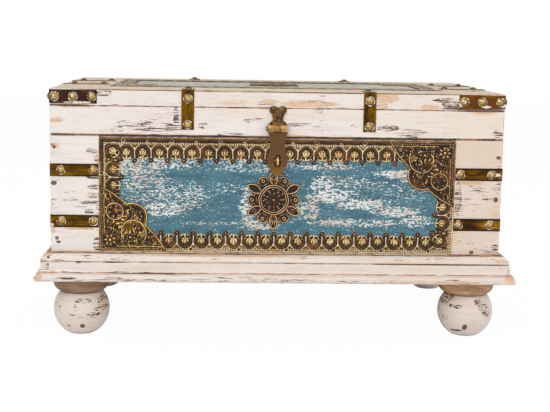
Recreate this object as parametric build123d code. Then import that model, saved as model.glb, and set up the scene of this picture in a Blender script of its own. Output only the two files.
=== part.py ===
from build123d import *
from math import cos, pi, sin, sqrt
import os

# A low wooden trunk: a box on a moulded plinth and four ball feet, with a hinged lid, brass straps,
# embossed brass trim and a hasp. Millimetres, X to the right, Y to the back, Z up from the floor.
# The origin is on the floor under the middle of the box.

# ---- overall ----
box_width = 900.0
box_depth = 550.0
plinth_height = 54.4
body_height = 235.0
lid_height = 90.0
lid_gap = 0.5            # the closed lid over the top of the box

# ---- boards ----
board_t = 22.0
bottom_t = 16.0
stile_width = 96.0
lid_frame_t = 33.0
lid_rail_width = 112.0   # front and rear boards of the lid's top
lid_end_width = 106.0    # end boards of the lid's top
lid_lip = 12.0           # rebate lip under the top panel
lid_panel_t = 16.0
lid_panel_gap = 0.5      # the panel lies this much inside and below its frame
edge_r = 3.0             # worn upright corners
top_r = 2.2              # worn edges round the top of the lid
seam_r = 1.8             # worn edges along the seam

# ---- plinth: projection of the moulding from the box, and its width under the box ----
plinth_out = 30.5
plinth_in = 28.0
block_size = 108.0

# ---- feet ----
ball_r = 56.5
ball_centre = 50.0
neck_r = 41.5
collar_r = 56.5
collar_bowl = 17.0       # height of the collar's bowl above the neck
collar_band = 13.7       # upright edge above the bowl
spigot_r = 15.0
spigot_length = 40.0
glue_gap = 0.1           # round the spigot, and above it
foot_inset = 54.0        # foot centre from the box's end
foot_setback = 50.0      # foot centre from the box's front

# ---- brass straps and studs ----
strap_t = 1.2
strap_width = 25.0
lid_strap_width = 27.0
corner_leg = 92.0
edge_leg = 78.0          # down the front of the lid
edge_top_leg = 50.0      # over its top
strap_end_gap = 1.5      # a strap's end short of the board's end
end_strap_gap = 9.0
edge_strap_x = 180.0
end_strap_y = 80.0
strap_below_seam = (70.0, 172.0)
stud_r = 8.2
stud_dome = 4.6
stud_shank_r = 1.5
stud_shank = 14.0
body_stud_in = 21.0      # first stud from the corner, on front and back
side_stud_in = 9.0       # first stud on the sides, from the joint with the front or back board
corner_stud_in = 9.5
edge_stud_down = 17.0
end_stud_in = 25.0
edge_top_stud = 30.0
stud_end = 10.0          # last stud from the strap's end

# ---- embossed trim ----
trim_t = 1.0
trim_bottom_margin = 3.5
trim_top_margin = 5.0
fold_wide = 8.0          # plain band along the outer edge of the upper and left strips
fold_narrow = 2.0        # and of the lower and right ones
strip_body = 32.0        # from the fold to the scallops' roots
arch_pitch = 32.0        # the arches are spaced as near to this as the run allows
arch_r = 15.0
arch_depth = 19.5        # arch centres from the fold
eyelet_r = 5.2
eyelet_depth = 36.0
corner_square = 47.0     # corner that the long strip holds
corner_arch_gap = 7.0    # first arch centre past that corner
plate_arch_gap = 4.0     # last arch centre before the plate's end
plate_leg_x = 134.0
side_run = 47.5          # upright strip between the plate's end and the next corner
plate_tuck = 32.0        # the strips run on this far along the plate's long side
rosette_x = -8.0
rosette_drop = 4.0       # rosette below the middle of the field
rosette_clear = 2.0      # its lowest tip over the eyelets
rosette_lobe_in = 8.0    # its lobes end this far inside its tips
rosette_hub_in = 27.0    # and its hub
hub_rim = 6.0            # the leaves start this far inside the hub's ring, the plain rim ends outside
leaf_half = 13.0
lobe_r = 10.5
rosette_nail_in = 16.0   # its nails inside the tips
rosette_t = 1.5
nail_r = 2.6
nail_dome = 1.5
nail_shank_r = 0.9
nail_shank = 12.0
nail_gap = 0.1           # round every nail and stud shank
nail_edge = 5.0          # trim nails from the strip's outer edge
nail_spacing = 96.0
plate_nail_in = 8.0
plate_nail_end = 14.0

# ---- rear hinges ----
hinge_x = 270.0
hinge_length = 70.0
hinge_knuckles = 5
hinge_leaf_height = 38.0
hinge_leaf_t = 2.5
hinge_barrel_r = 6.0
hinge_pin_r = 2.5
hinge_seat = 0.3         # barrel off the back face
pin_fit = 0.05           # running fit of every pin
side_gap = 0.3           # between neighbouring knuckles
knuckle_room = 0.4       # round a neighbour's knuckle
hinge_head_r = 3.7       # peened ends of the hinge pin
hinge_head = 2.0
hinge_nail_out = 26.0
hinge_nail_rows = (20.0, 30.0)

# ---- hasp ----
hasp_x = -2.0
hasp_axis_above_seam = 17.0
hasp_barrel_r = 8.0
hasp_seat = 0.3
hasp_t = 2.5
hasp_pin_r = 3.0
hasp_pin_head_r = 5.5
hasp_pin_head = 4.5
knuckle_left = 10.5
knuckle_middle = 15.0
knuckle_right = 12.0
hasp_length = 92.0       # from the axis to the tip
slot_width = 13.0
slot_height = 25.0
slot_below_axis = 63.5
staple_wire_r = 2.5
staple_half = 7.5        # half the distance between its legs
staple_reach = 14.0      # loop centre line in front of the hasp leaf
staple_stop = 4.0        # legs end this far from the board's inner face
boss_r = 8.4             # two round bosses on the hanger
boss_apart = 8.6
boss_up = 36.5
boss_dome_r = 7.0
boss_dome = 3.0
foot_rise = 1.0          # the hanger is as wide as the barrel up to this far above it
hanger_waist = 9.5
hanger_shoulder = 13.5
hanger_nail_out = 13.0
leaf_clear = 0.6         # shoulders of the leaf below the barrel
leaf_tip_half = 8.0

# ---- derived levels and faces ----
neck_z = ball_centre + sqrt(ball_r ** 2 - neck_r ** 2)
collar_edge = neck_z + collar_bowl
foot_height = collar_edge + collar_band
plinth_top = foot_height + plinth_height
body_top = plinth_top + body_height
lid_bottom = body_top + lid_gap
lid_top = lid_bottom + lid_height
frame_bottom = lid_top - lid_frame_t
half_w = box_width / 2
half_d = box_depth / 2
front_face = -half_d
bottom_top = plinth_top + bottom_t
panel_half = half_w - stile_width
body_leg = stile_width - strap_end_gap
end_top_leg = lid_end_width - end_strap_gap
staple_depth = board_t - staple_stop
trim_low = plinth_top + trim_bottom_margin
trim_high = body_top - trim_top_margin
plate_leg_z = trim_high - trim_low - corner_square - side_run
field_top = trim_high - fold_wide - eyelet_depth - eyelet_r
field_low = trim_low + fold_narrow + eyelet_depth + eyelet_r
rosette_z = (field_top + field_low) / 2 - rosette_drop
rosette_tip_r = rosette_z - field_low - rosette_clear
rosette_lobe_r = rosette_tip_r - rosette_lobe_in
rosette_hub_r = rosette_tip_r - rosette_hub_in
rosette_nail_r = rosette_tip_r - rosette_nail_in
panel_top = lid_top - lid_panel_gap
field_half_x = half_w - lid_end_width
field_half_y = half_d - lid_rail_width
lid_strap_low = lid_top - top_r - lid_strap_width
hinge_axis_y = half_d + hinge_seat + hinge_barrel_r
hinge_axis_z = (body_top + lid_bottom) / 2
hasp_axis_y = front_face - hasp_seat - hasp_barrel_r
hasp_axis_z = body_top + hasp_axis_above_seam
slot_z = hasp_axis_z - slot_below_axis
hanger_foot = hasp_barrel_r + foot_rise
leaf_top = hasp_barrel_r + leaf_clear


# ---- helpers ----
def board(x0, x1, y0, y1, z0, z1):
    """A plain board between two corners."""
    size = (x1 - x0, y1 - y0, z1 - z0)
    middle = ((x0 + x1) / 2, (y0 + y1) / 2, (z0 + z1) / 2)
    return Pos(*middle) * Box(*size)


def edges_at(solid, x=None, y=None, z=None):
    """Edges that lie wholly at the given coordinates."""
    found = []
    for edge in solid.edges():
        ends = [vertex.center() for vertex in edge.vertices()]
        same_x = x is None or all(abs(p.X - x) < 1e-4 for p in ends)
        same_y = y is None or all(abs(p.Y - y) < 1e-4 for p in ends)
        same_z = z is None or all(abs(p.Z - z) < 1e-4 for p in ends)
        if same_x and same_y and same_z:
            found.append(edge)
    return found


def soften(solid, radius, *places):
    """Rounds the edges at each place, a dictionary of fixed coordinates."""
    chosen = []
    for place in places:
        chosen += edges_at(solid, **place)
    return fillet(chosen, radius)


def domed(head_r, head_h, shank_r, shank_length):
    """A domed nail standing on Z = 0 with its shank below."""
    sphere_r = (head_r ** 2 + head_h ** 2) / (2 * head_h)
    centre = head_h - sphere_r
    half_way = (head_r / 2, centre + sqrt(sphere_r ** 2 - head_r ** 2 / 4))
    outline = Polyline((0, head_h), (0, -shank_length), (shank_r, -shank_length), (shank_r, 0), (head_r, 0))
    outline += ThreePointArc((head_r, 0), half_way, (0, head_h))
    return revolve(Plane.XZ * make_face(outline), Axis.Z)


def at(point, normal, shape):
    """A shape built along +Z, put at a point with its Z along the normal."""
    return Plane(origin=point, z_dir=normal).location * shape


class Fasteners:
    """Nails of one kind in one body: where they are, and the holes that they need."""

    def __init__(self, head_r, head_h, shank_r, shank_length):
        self.shape = domed(head_r, head_h, shank_r, shank_length)
        length = shank_length + 2 * nail_gap + head_h
        hole = Cylinder(shank_r + nail_gap, length, align=(Align.CENTER, Align.CENTER, Align.MAX))
        self.hole = Pos(0, 0, head_h) * hole
        self.places = []

    def add(self, point, normal):
        self.places.append((point, normal))

    def solids(self):
        return [at(point, normal, self.shape) for point, normal in self.places]

    def holes(self):
        return [at(point, normal, self.hole) for point, normal in self.places]


def drilled(solid, groups):
    """The solid with a hole for each nail that passes through it."""
    box = solid.bounding_box()
    for group in groups:
        for hole in group.holes():
            other = hole.bounding_box()
            apart_x = other.min.X > box.max.X or other.max.X < box.min.X
            apart_y = other.min.Y > box.max.Y or other.max.Y < box.min.Y
            apart_z = other.min.Z > box.max.Z or other.max.Z < box.min.Z
            if not (apart_x or apart_y or apart_z):
                solid = solid - hole
    return solid


def bent_strap(leg_a, leg_b, width, wood_r):
    """A strap bent round a rounded corner of wood that fills X > 0, Y > 0. Leg A runs along X."""
    t = strap_t
    bend = cos(pi / 4)
    inner = wood_r * (1 - bend)
    outer = inner - t * bend
    outline = Polyline((wood_r, 0), (leg_a, 0), (leg_a, -t), (wood_r, -t))
    outline += ThreePointArc((wood_r, -t), (outer, outer), (-t, wood_r))
    outline += Polyline((-t, wood_r), (-t, leg_b), (0, leg_b), (0, wood_r))
    outline += ThreePointArc((0, wood_r), (inner, inner), (wood_r, 0))
    return extrude(make_face(outline), width)


def mirrored(shape, flip_x, flip_y):
    """The shape turned to another corner of the chest."""
    if flip_x:
        shape = mirror(shape, Plane.YZ)
    if flip_y:
        shape = mirror(shape, Plane.XZ)
    return shape


body_studs = Fasteners(stud_r, stud_dome, stud_shank_r, stud_shank)
lid_studs = Fasteners(stud_r, stud_dome, stud_shank_r, stud_shank)
body_nails = Fasteners(nail_r, nail_dome, nail_shank_r, nail_shank)
lid_nails = Fasteners(nail_r, nail_dome, nail_shank_r, nail_shank)
corners = {
    "front_left": (-1, -1),
    "front_right": (1, -1),
    "rear_left": (-1, 1),
    "rear_right": (1, 1),
}
body_pieces = {}
lid_pieces = {}


# ---- the box ----
def make_box():
    inner_y = half_d - board_t
    inner_x = half_w - board_t
    panel = board(-panel_half, panel_half, front_face, -inner_y, plinth_top, body_top)
    panel = soften(panel, seam_r, dict(y=front_face, z=body_top))
    body_pieces["front_panel"] = panel
    stile = board(-half_w, -panel_half, front_face, -inner_y, plinth_top, body_top)
    stile = soften(stile, edge_r, dict(x=-half_w, y=front_face))
    stile = soften(stile, seam_r, dict(y=front_face, z=body_top), dict(x=-half_w, z=body_top))
    body_pieces["front_stile_left"] = stile
    body_pieces["front_stile_right"] = mirrored(stile, True, False)
    back = board(-half_w, half_w, inner_y, half_d, plinth_top, body_top)
    back = soften(back, edge_r, dict(x=-half_w, y=half_d), dict(x=half_w, y=half_d))
    back = soften(back, seam_r, dict(y=half_d, z=body_top))
    body_pieces["back_board"] = back
    side = board(-half_w, -inner_x, -inner_y, inner_y, plinth_top, body_top)
    side = soften(side, seam_r, dict(x=-half_w, z=body_top))
    body_pieces["side_board_left"] = side
    body_pieces["side_board_right"] = mirrored(side, True, False)
    body_pieces["bottom_board"] = board(-inner_x, inner_x, -inner_y, inner_y, plinth_top, bottom_top)


# ---- plinth ----
def plinth_profile():
    """Section of the moulding: X is the distance out from the box, Y the height."""
    low = foot_height
    high = plinth_top
    out = plinth_out
    top_round = high - 14.0      # bottom of the rounded top member
    cove_top = low + 25.5
    cove_low = low + 16.0        # top of the bottom bead
    outline = Polyline((-plinth_in, low), (-plinth_in, high), (out - 25.5, high))
    outline += ThreePointArc((out - 25.5, high), (out - 15.5, high - 4.4), (out - 11.5, top_round))
    fascia = [(out - 11.5, top_round), (out - 13.0, top_round - 1.0), (out - 11.0, top_round - 2.5)]
    outline += Polyline(*fascia, (out - 10.5, cove_top))
    outline += ThreePointArc((out - 10.5, cove_top), (out - 8.6, low + 19.5), (out - 3.5, cove_low))
    outline += Polyline((out - 3.5, cove_low), (out - 5.0, cove_low - 1.2), (out - 3.8, cove_low - 2.0))
    outline += ThreePointArc((out - 3.8, cove_low - 2.0), (out, low + 8.0), (out - 3.0, low))
    outline += Line((out - 3.0, low), (-plinth_in, low))
    return make_face(outline)


def plinth_rail(run, setback, turn):
    """One mitred rail along a side of the box, made at the front and turned about Z."""
    reach = run / 2 + plinth_out
    section = Plane(origin=(-reach, -setback, 0), x_dir=(0, -1, 0), z_dir=(-1, 0, 0))
    rail = extrude(section.location * plinth_profile(), -2 * reach)
    mitre = Polyline(
        (-reach, -setback - plinth_out),
        (reach, -setback - plinth_out),
        (run / 2 - plinth_in, -setback + plinth_in),
        (-run / 2 + plinth_in, -setback + plinth_in),
        close=True,
    )
    prism = Pos(0, 0, foot_height) * extrude(make_face(mitre), plinth_height)
    return Rot(0, 0, turn) * (rail & prism)


def make_plinth():
    body_pieces["plinth_front"] = plinth_rail(box_width, half_d, 0)
    body_pieces["plinth_right"] = plinth_rail(box_depth, half_w, 90)
    body_pieces["plinth_rear"] = plinth_rail(box_width, half_d, 180)
    body_pieces["plinth_left"] = plinth_rail(box_depth, half_w, -90)


# ---- feet ----
def make_feet():
    flat_r = sqrt(ball_r ** 2 - ball_centre ** 2)
    bowl = (neck_r + 0.69 * (collar_r - neck_r), neck_z + 0.3 * collar_bowl)
    top = foot_height
    outline = Line((0, 0), (flat_r, 0))
    outline += ThreePointArc((flat_r, 0), (ball_r, ball_centre), (neck_r, neck_z))
    outline += ThreePointArc((neck_r, neck_z), bowl, (collar_r, collar_edge))
    upper = [(collar_r, collar_edge), (collar_r, top), (spigot_r, top), (spigot_r, top + spigot_length)]
    outline += Polyline(*upper, (0, top + spigot_length), (0, 0))
    foot = revolve(Plane.XZ * make_face(outline), Axis.Z)
    x = half_w - foot_inset
    y = half_d - foot_setback
    block_x = half_w - plinth_in
    block_y = half_d - plinth_in
    upward = (Align.CENTER, Align.CENTER, Align.MIN)
    hole = Cylinder(spigot_r + glue_gap, spigot_length + glue_gap, align=upward)
    block = board(-block_x, -block_x + block_size, -block_y, -block_y + block_size, foot_height, plinth_top)
    block = block - Pos(-x, -y, foot_height) * hole
    blocks = []
    for name, (sx, sy) in corners.items():
        body_pieces["foot_" + name] = Pos(sx * x, sy * y, 0) * foot
        blocks.append(mirrored(block, sx > 0, sy > 0))
    body_pieces["foot_blocks"] = blocks


# ---- straps of the box ----
def make_body_straps():
    low = [body_top - below - strap_width / 2 for below in strap_below_seam]
    strap = Pos(-half_w, front_face, 0) * bent_strap(body_leg, body_leg, strap_width, edge_r)
    last = body_leg - stud_end
    for name, (sx, sy) in corners.items():
        pair = [mirrored(Pos(0, 0, z) * strap, sx > 0, sy > 0) for z in low]
        body_pieces["body_straps_" + name] = pair
        for z in low:
            middle = z + strap_width / 2
            for place in (body_stud_in, last):
                body_studs.add((sx * (half_w - place), sy * (half_d + strap_t), middle), (0, sy, 0))
            for place in (board_t + side_stud_in, last):
                body_studs.add((sx * (half_w + strap_t), sy * (half_d - place), middle), (sx, 0, 0))


# ---- embossed strips, plates and rosette, drawn flat and laid on their board ----
def strip_face(run, fold, arches):
    """A strip along +X from the origin, its outer edge at Y = 0, its scallops towards -Y."""
    depth = fold + strip_body
    face = Pos(run / 2, -depth / 2) * Rectangle(run, depth)
    for x in arches:
        face += Pos(x, -fold - arch_depth) * Circle(arch_r)
    for x, following in zip(arches, arches[1:]):
        face += Pos((x + following) / 2, -fold - eyelet_depth) * Circle(eyelet_r)
    return face


def long_strip(width, fold):
    """The strip between a corner, which it holds, and the far plate's long side."""
    plate_start = width - plate_leg_x
    first = corner_square + corner_arch_gap
    span = plate_start - plate_arch_gap - first
    steps = round(span / arch_pitch)
    arches = [first + span * index / steps for index in range(steps + 1)]
    face = strip_face(plate_start + plate_tuck, fold, arches)
    return face + Pos(corner_square / 2, -corner_square / 2) * Rectangle(corner_square, corner_square)


def short_strip(height, fold):
    """The strip from the plate's long side to the corner, starting at the plate's end."""
    run = height - plate_leg_z - corner_square
    count = max(1, int(run // arch_pitch))
    first = (run - (count - 1) * arch_pitch) / 2
    arches = [plate_tuck + first + index * arch_pitch for index in range(count)]
    return strip_face(run + plate_tuck, fold, arches)


def plate_face():
    """A corner plate with its square corner at the origin and a lobed long side."""
    a = plate_leg_x
    b = plate_leg_z
    first = (0.69 * a, 0.41 * b)
    second = (0.41 * a, 0.73 * b)
    outline = Polyline((0, b), (0, 0), (a, 0))
    outline += ThreePointArc((a, 0), (0.84 * a, 0.25 * b), first)
    outline += ThreePointArc(first, (0.66 * a, 0.67 * b), second)
    outline += ThreePointArc(second, (0.24 * a, 0.87 * b), (0, b))
    return make_face(outline)


def rosette_face():
    """Six pointed leaves with six round lobes between them, round a hub."""
    leaf_base = rosette_hub_r - hub_rim
    leaf_middle = (leaf_base + rosette_tip_r) / 2
    face = Circle(rosette_hub_r + hub_rim)
    for index in range(6):
        turn = Rot(0, 0, 60 * index)
        sides = ThreePointArc((0, leaf_base), (leaf_half, leaf_middle), (0, rosette_tip_r))
        sides += ThreePointArc((0, rosette_tip_r), (-leaf_half, leaf_middle), (0, leaf_base))
        face += turn * make_face(sides)
        face += turn * Rot(0, 0, 30) * Pos(0, rosette_lobe_r - lobe_r) * Circle(lobe_r)
    return face


def framed_field(base, half_x, half_y, folds):
    """Trim of a rectangular field, as solids. The base plane lies in the field's middle, X to the
    right and Y up. Plates sit lower left and upper right. Folds are those of top, left, low, right."""
    width = 2 * half_x
    height = 2 * half_y
    top_fold, left_fold, low_fold, right_fold = folds
    plate = plate_face()
    low_plate = Pos(-half_x, -half_y) * plate
    high_plate = Pos(half_x, half_y) * Rot(0, 0, 180) * plate
    left_start = -half_y + plate_leg_z - plate_tuck
    top = Pos(-half_x, half_y) * long_strip(width, top_fold) - high_plate
    low = Pos(half_x, -half_y) * Rot(0, 0, 180) * long_strip(width, low_fold) - low_plate
    left = Pos(-half_x, left_start) * Rot(0, 0, 90) * short_strip(height, left_fold) - low_plate
    right = Pos(half_x, -left_start) * Rot(0, 0, -90) * short_strip(height, right_fold) - high_plate
    faces = dict(top=top, low=low, left=left, right=right, low_plate=low_plate, high_plate=high_plate)
    return {name: extrude(base.location * face, trim_t) for name, face in faces.items()}


def trim_nail_places(half_x, half_y):
    """Nails of one framed field, as X and Y in its plane."""
    places = []
    run = 2 * half_x - plate_leg_x
    count = round(run / nail_spacing)
    for index in range(count):
        places.append((-half_x + run * (index + 0.5) / count, half_y - nail_edge))
    places.append((-half_x + nail_edge, half_y - (2 * half_y - plate_leg_z + corner_square) / 2))
    places.append((half_x - plate_nail_in, half_y - plate_nail_in))
    places.append((half_x - plate_leg_x + plate_nail_end, half_y - nail_edge))
    places.append((half_x - nail_edge, half_y - plate_leg_z + plate_nail_end))
    places.append((half_x - plate_leg_x / 2, half_y - plate_leg_z / 2))
    return places + [(-x, -y) for x, y in places]


def rosette_nail_places():
    angles = [pi / 2 + index * 2 * pi / 3 for index in range(3)]
    return [(rosette_nail_r * cos(angle), rosette_nail_r * sin(angle)) for angle in angles]


def make_front_trim():
    middle_z = (trim_low + trim_high) / 2
    half_z = (trim_high - trim_low) / 2
    base = Plane(origin=(0, front_face, middle_z), x_dir=(1, 0, 0), z_dir=(0, -1, 0))
    folds = (fold_wide, fold_wide, fold_narrow, fold_narrow)
    pieces = framed_field(base, panel_half, half_z, folds)
    body_pieces["trim_top"] = pieces["top"] - staple_holes()
    body_pieces["trim_bottom"] = pieces["low"]
    body_pieces["trim_left"] = pieces["left"]
    body_pieces["trim_right"] = pieces["right"]
    body_pieces["corner_plate_lower_left"] = pieces["low_plate"]
    body_pieces["corner_plate_upper_right"] = pieces["high_plate"]
    flower = Plane(origin=(rosette_x, front_face, rosette_z), x_dir=(1, 0, 0), z_dir=(0, -1, 0))
    body_pieces["rosette"] = extrude(flower.location * rosette_face(), rosette_t)
    for x, z in trim_nail_places(panel_half, half_z):
        body_nails.add((x, front_face - trim_t, middle_z + z), (0, -1, 0))
    for x, z in rosette_nail_places():
        body_nails.add((rosette_x + x, front_face - rosette_t, rosette_z + z), (0, -1, 0))


def make_lid_trim():
    half_x = field_half_x - lid_panel_gap
    half_y = field_half_y - lid_panel_gap
    base = Plane(origin=(0, 0, panel_top), x_dir=(1, 0, 0), z_dir=(0, 0, 1))
    pieces = framed_field(base, half_x, half_y, (fold_narrow,) * 4)
    lid_pieces["lid_trim_front"] = pieces["low"]
    lid_pieces["lid_trim_rear"] = pieces["top"]
    lid_pieces["lid_trim_left"] = pieces["left"]
    lid_pieces["lid_trim_right"] = pieces["right"]
    lid_pieces["lid_corner_plates"] = [pieces["low_plate"], pieces["high_plate"]]
    lid_pieces["lid_rosette"] = extrude(base.location * rosette_face(), rosette_t)
    for x, y in trim_nail_places(half_x, half_y):
        lid_nails.add((x, y, panel_top + trim_t), (0, 0, 1))
    for x, y in rosette_nail_places():
        lid_nails.add((x, y, panel_top + rosette_t), (0, 0, 1))


# ---- staple ----
def staple_path():
    """Centre line of the staple: two legs and a half-round loop, in the YZ plane."""
    back = front_face + staple_depth
    front = hasp_axis_y - hasp_t / 2 - staple_reach + staple_half
    low = slot_z - staple_half
    high = slot_z + staple_half
    path = Line((hasp_x, back, low), (hasp_x, front, low))
    turn = (hasp_x, front - staple_half, slot_z)
    path += ThreePointArc((hasp_x, front, low), turn, (hasp_x, front, high))
    path += Line((hasp_x, front, high), (hasp_x, back, high))
    return path


def staple_holes():
    """Room for the two legs through trim and board."""
    start = front_face + staple_depth + nail_gap
    length = staple_depth + 2 * staple_wire_r
    leg = Cylinder(staple_wire_r + nail_gap, length, align=(Align.CENTER, Align.CENTER, Align.MIN))
    legs = []
    for z in (slot_z - staple_half, slot_z + staple_half):
        legs.append(at((hasp_x, start, z), (0, -1, 0), leg))
    return legs


def make_staple():
    path = staple_path()
    start = Plane(origin=path @ 0, z_dir=path % 0)
    body_pieces["staple"] = sweep(start.location * Circle(staple_wire_r), path=path)
    body_pieces["front_panel"] = body_pieces["front_panel"] - staple_holes()


# ---- rear hinges ----
def along_x(x, y, z, shape):
    """A shape centred on the origin, its Z turned to X and its middle put at a point."""
    return at((x, y, z), (1, 0, 0), shape)


def knuckle(x, width, y, z, outer_r, hole_r):
    """One knuckle, its middle at X."""
    return along_x(x, y, z, Cylinder(outer_r, width) - Cylinder(hole_r, width))


def hinge_leaf(x_middle, upper):
    """A leaf with every other knuckle, lying on the back of its board."""
    start = x_middle - hinge_length / 2
    pitch = hinge_length / hinge_knuckles
    low = hinge_axis_z if upper else hinge_axis_z - hinge_leaf_height
    plate = board(start, start + hinge_length, half_d, half_d + hinge_leaf_t, low, low + hinge_leaf_height)
    hole_r = hinge_pin_r + pin_fit
    room_r = hinge_barrel_r + knuckle_room
    for index in range(hinge_knuckles):
        middle = start + (index + 0.5) * pitch
        own = (index % 2 == 1) == upper
        if own:
            plate += knuckle(middle, pitch - side_gap, hinge_axis_y, hinge_axis_z, hinge_barrel_r, hole_r)
        else:
            plate -= along_x(middle, hinge_axis_y, hinge_axis_z, Cylinder(room_r, pitch + side_gap))
    bore = Cylinder(hole_r, hinge_length + pitch)
    return plate - along_x(x_middle, hinge_axis_y, hinge_axis_z, bore)


def make_hinges():
    pins = []
    for name, x in (("left", -hinge_x), ("right", hinge_x)):
        body_pieces["hinge_leaf_lower_" + name] = hinge_leaf(x, False)
        lid_pieces["hinge_leaf_upper_" + name] = hinge_leaf(x, True)
        pin = Cylinder(hinge_pin_r, hinge_length)
        for end in (-1, 1):
            pin += Pos(0, 0, end * (hinge_length + hinge_head) / 2) * Cylinder(hinge_head_r, hinge_head)
        pins.append(along_x(x, hinge_axis_y, hinge_axis_z, pin))
        for offset in (-hinge_nail_out, 0, hinge_nail_out):
            for down in hinge_nail_rows:
                nail_x = x + offset
                nail_y = half_d + hinge_leaf_t
                body_nails.add((nail_x, nail_y, hinge_axis_z - down), (0, 1, 0))
                lid_nails.add((nail_x, nail_y, hinge_axis_z + down), (0, 1, 0))
    body_pieces["hinge_pins"] = pins


# ---- lid ----
def make_lid_boards():
    inner_y = half_d - board_t
    inner_x = half_w - board_t
    front = board(-half_w, half_w, front_face, -inner_y, lid_bottom, frame_bottom)
    front = soften(front, edge_r, dict(x=-half_w, y=front_face), dict(x=half_w, y=front_face))
    front = soften(front, seam_r, dict(y=front_face, z=lid_bottom))
    lid_pieces["lid_skirt_front"] = front
    lid_pieces["lid_skirt_rear"] = mirrored(front, False, True)
    side = board(-half_w, -inner_x, -inner_y, inner_y, lid_bottom, frame_bottom)
    side = soften(side, seam_r, dict(x=-half_w, z=lid_bottom))
    lid_pieces["lid_skirt_left"] = side
    lid_pieces["lid_skirt_right"] = mirrored(side, True, False)
    lip_z = panel_top - lid_panel_t
    rail = board(-half_w, half_w, front_face, -field_half_y, frame_bottom, lid_top)
    rail = soften(rail, edge_r, dict(x=-half_w, y=front_face), dict(x=half_w, y=front_face))
    rail = soften(rail, top_r, dict(y=front_face, z=lid_top))
    lip = board(-field_half_x, field_half_x, -field_half_y, -field_half_y + lid_lip, frame_bottom, lip_z)
    rail = rail + lip
    lid_pieces["lid_frame_front"] = rail
    lid_pieces["lid_frame_rear"] = mirrored(rail, False, True)
    end = board(-half_w, -field_half_x, -field_half_y, field_half_y, frame_bottom, lid_top)
    end = soften(end, top_r, dict(x=-half_w, z=lid_top))
    lip_y = field_half_y - lid_lip
    end = end + board(-field_half_x, -field_half_x + lid_lip, -lip_y, lip_y, frame_bottom, lip_z)
    lid_pieces["lid_frame_left"] = end
    lid_pieces["lid_frame_right"] = mirrored(end, True, False)
    x = field_half_x - lid_panel_gap
    y = field_half_y - lid_panel_gap
    lid_pieces["lid_panel"] = board(-x, x, -y, y, lip_z, panel_top)


def make_lid_straps():
    """Corner straps lie round the upright corners. The others come over the top edges."""
    corner = Pos(-half_w, front_face, lid_strap_low)
    corner = corner * bent_strap(corner_leg, corner_leg, lid_strap_width, edge_r)
    edge_plane = Plane(origin=(strap_width / 2, front_face, lid_top), x_dir=(0, 1, 0), z_dir=(-1, 0, 0))
    edge = edge_plane.location * bent_strap(edge_top_leg, edge_leg, strap_width, top_r)
    end_plane = Plane(origin=(-half_w, -strap_width / 2, lid_top), x_dir=(1, 0, 0), z_dir=(0, 1, 0))
    end = end_plane.location * bent_strap(end_top_leg, edge_leg, strap_width, top_r)
    corner_straps = []
    edge_straps = []
    end_straps = []
    stud_z = lid_strap_low + lid_strap_width / 2
    top_z = lid_top + strap_t
    for sx, sy in corners.values():
        corner_straps.append(mirrored(corner, sx > 0, sy > 0))
        edge_straps.append(Pos(sx * edge_strap_x, 0, 0) * mirrored(edge, False, sy > 0))
        end_straps.append(Pos(0, sy * end_strap_y, 0) * mirrored(end, sx > 0, False))
        last = corner_leg - stud_end
        for place in (corner_stud_in, (corner_stud_in + last) / 2, last):
            lid_studs.add((sx * (half_w - place), sy * (half_d + strap_t), stud_z), (0, sy, 0))
            lid_studs.add((sx * (half_w + strap_t), sy * (half_d - place), stud_z), (sx, 0, 0))
        for place in (edge_stud_down, edge_leg - stud_end):
            z = lid_top - place
            lid_studs.add((sx * edge_strap_x, sy * (half_d + strap_t), z), (0, sy, 0))
            lid_studs.add((sx * (half_w + strap_t), sy * end_strap_y, z), (sx, 0, 0))
        lid_studs.add((sx * edge_strap_x, sy * (half_d - edge_top_stud), top_z), (0, 0, 1))
        for place in (end_stud_in, end_top_leg - stud_end):
            lid_studs.add((sx * (half_w - place), sy * end_strap_y, top_z), (0, 0, 1))
    lid_pieces["lid_corner_straps"] = corner_straps
    lid_pieces["lid_edge_straps"] = edge_straps
    lid_pieces["lid_end_straps"] = end_straps


# ---- hasp ----
def hasp_edges():
    """X of the two cuts between the three knuckles, and of the barrel's ends."""
    whole = knuckle_left + knuckle_middle + knuckle_right
    left = hasp_x - whole / 2
    return left, left + knuckle_left, left + knuckle_left + knuckle_middle, left + whole


def hanger_outline():
    """A foot as wide as the barrel, a waist, and shoulders that carry the two bosses. Y is up."""
    half = (knuckle_left + knuckle_middle + knuckle_right) / 2
    waist = hanger_foot + hasp_barrel_r
    shoulder = boss_up - 0.65 * boss_r
    right = [(half, 0), (half, hanger_foot), (hanger_waist, waist), (hanger_shoulder, shoulder)]
    left = [(-x, y) for x, y in reversed(right)]
    outline = make_face(Polyline(*right, *left, close=True))
    for side in (-1, 1):
        outline += Pos(side * boss_apart, boss_up) * Circle(boss_r)
    return outline


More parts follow.
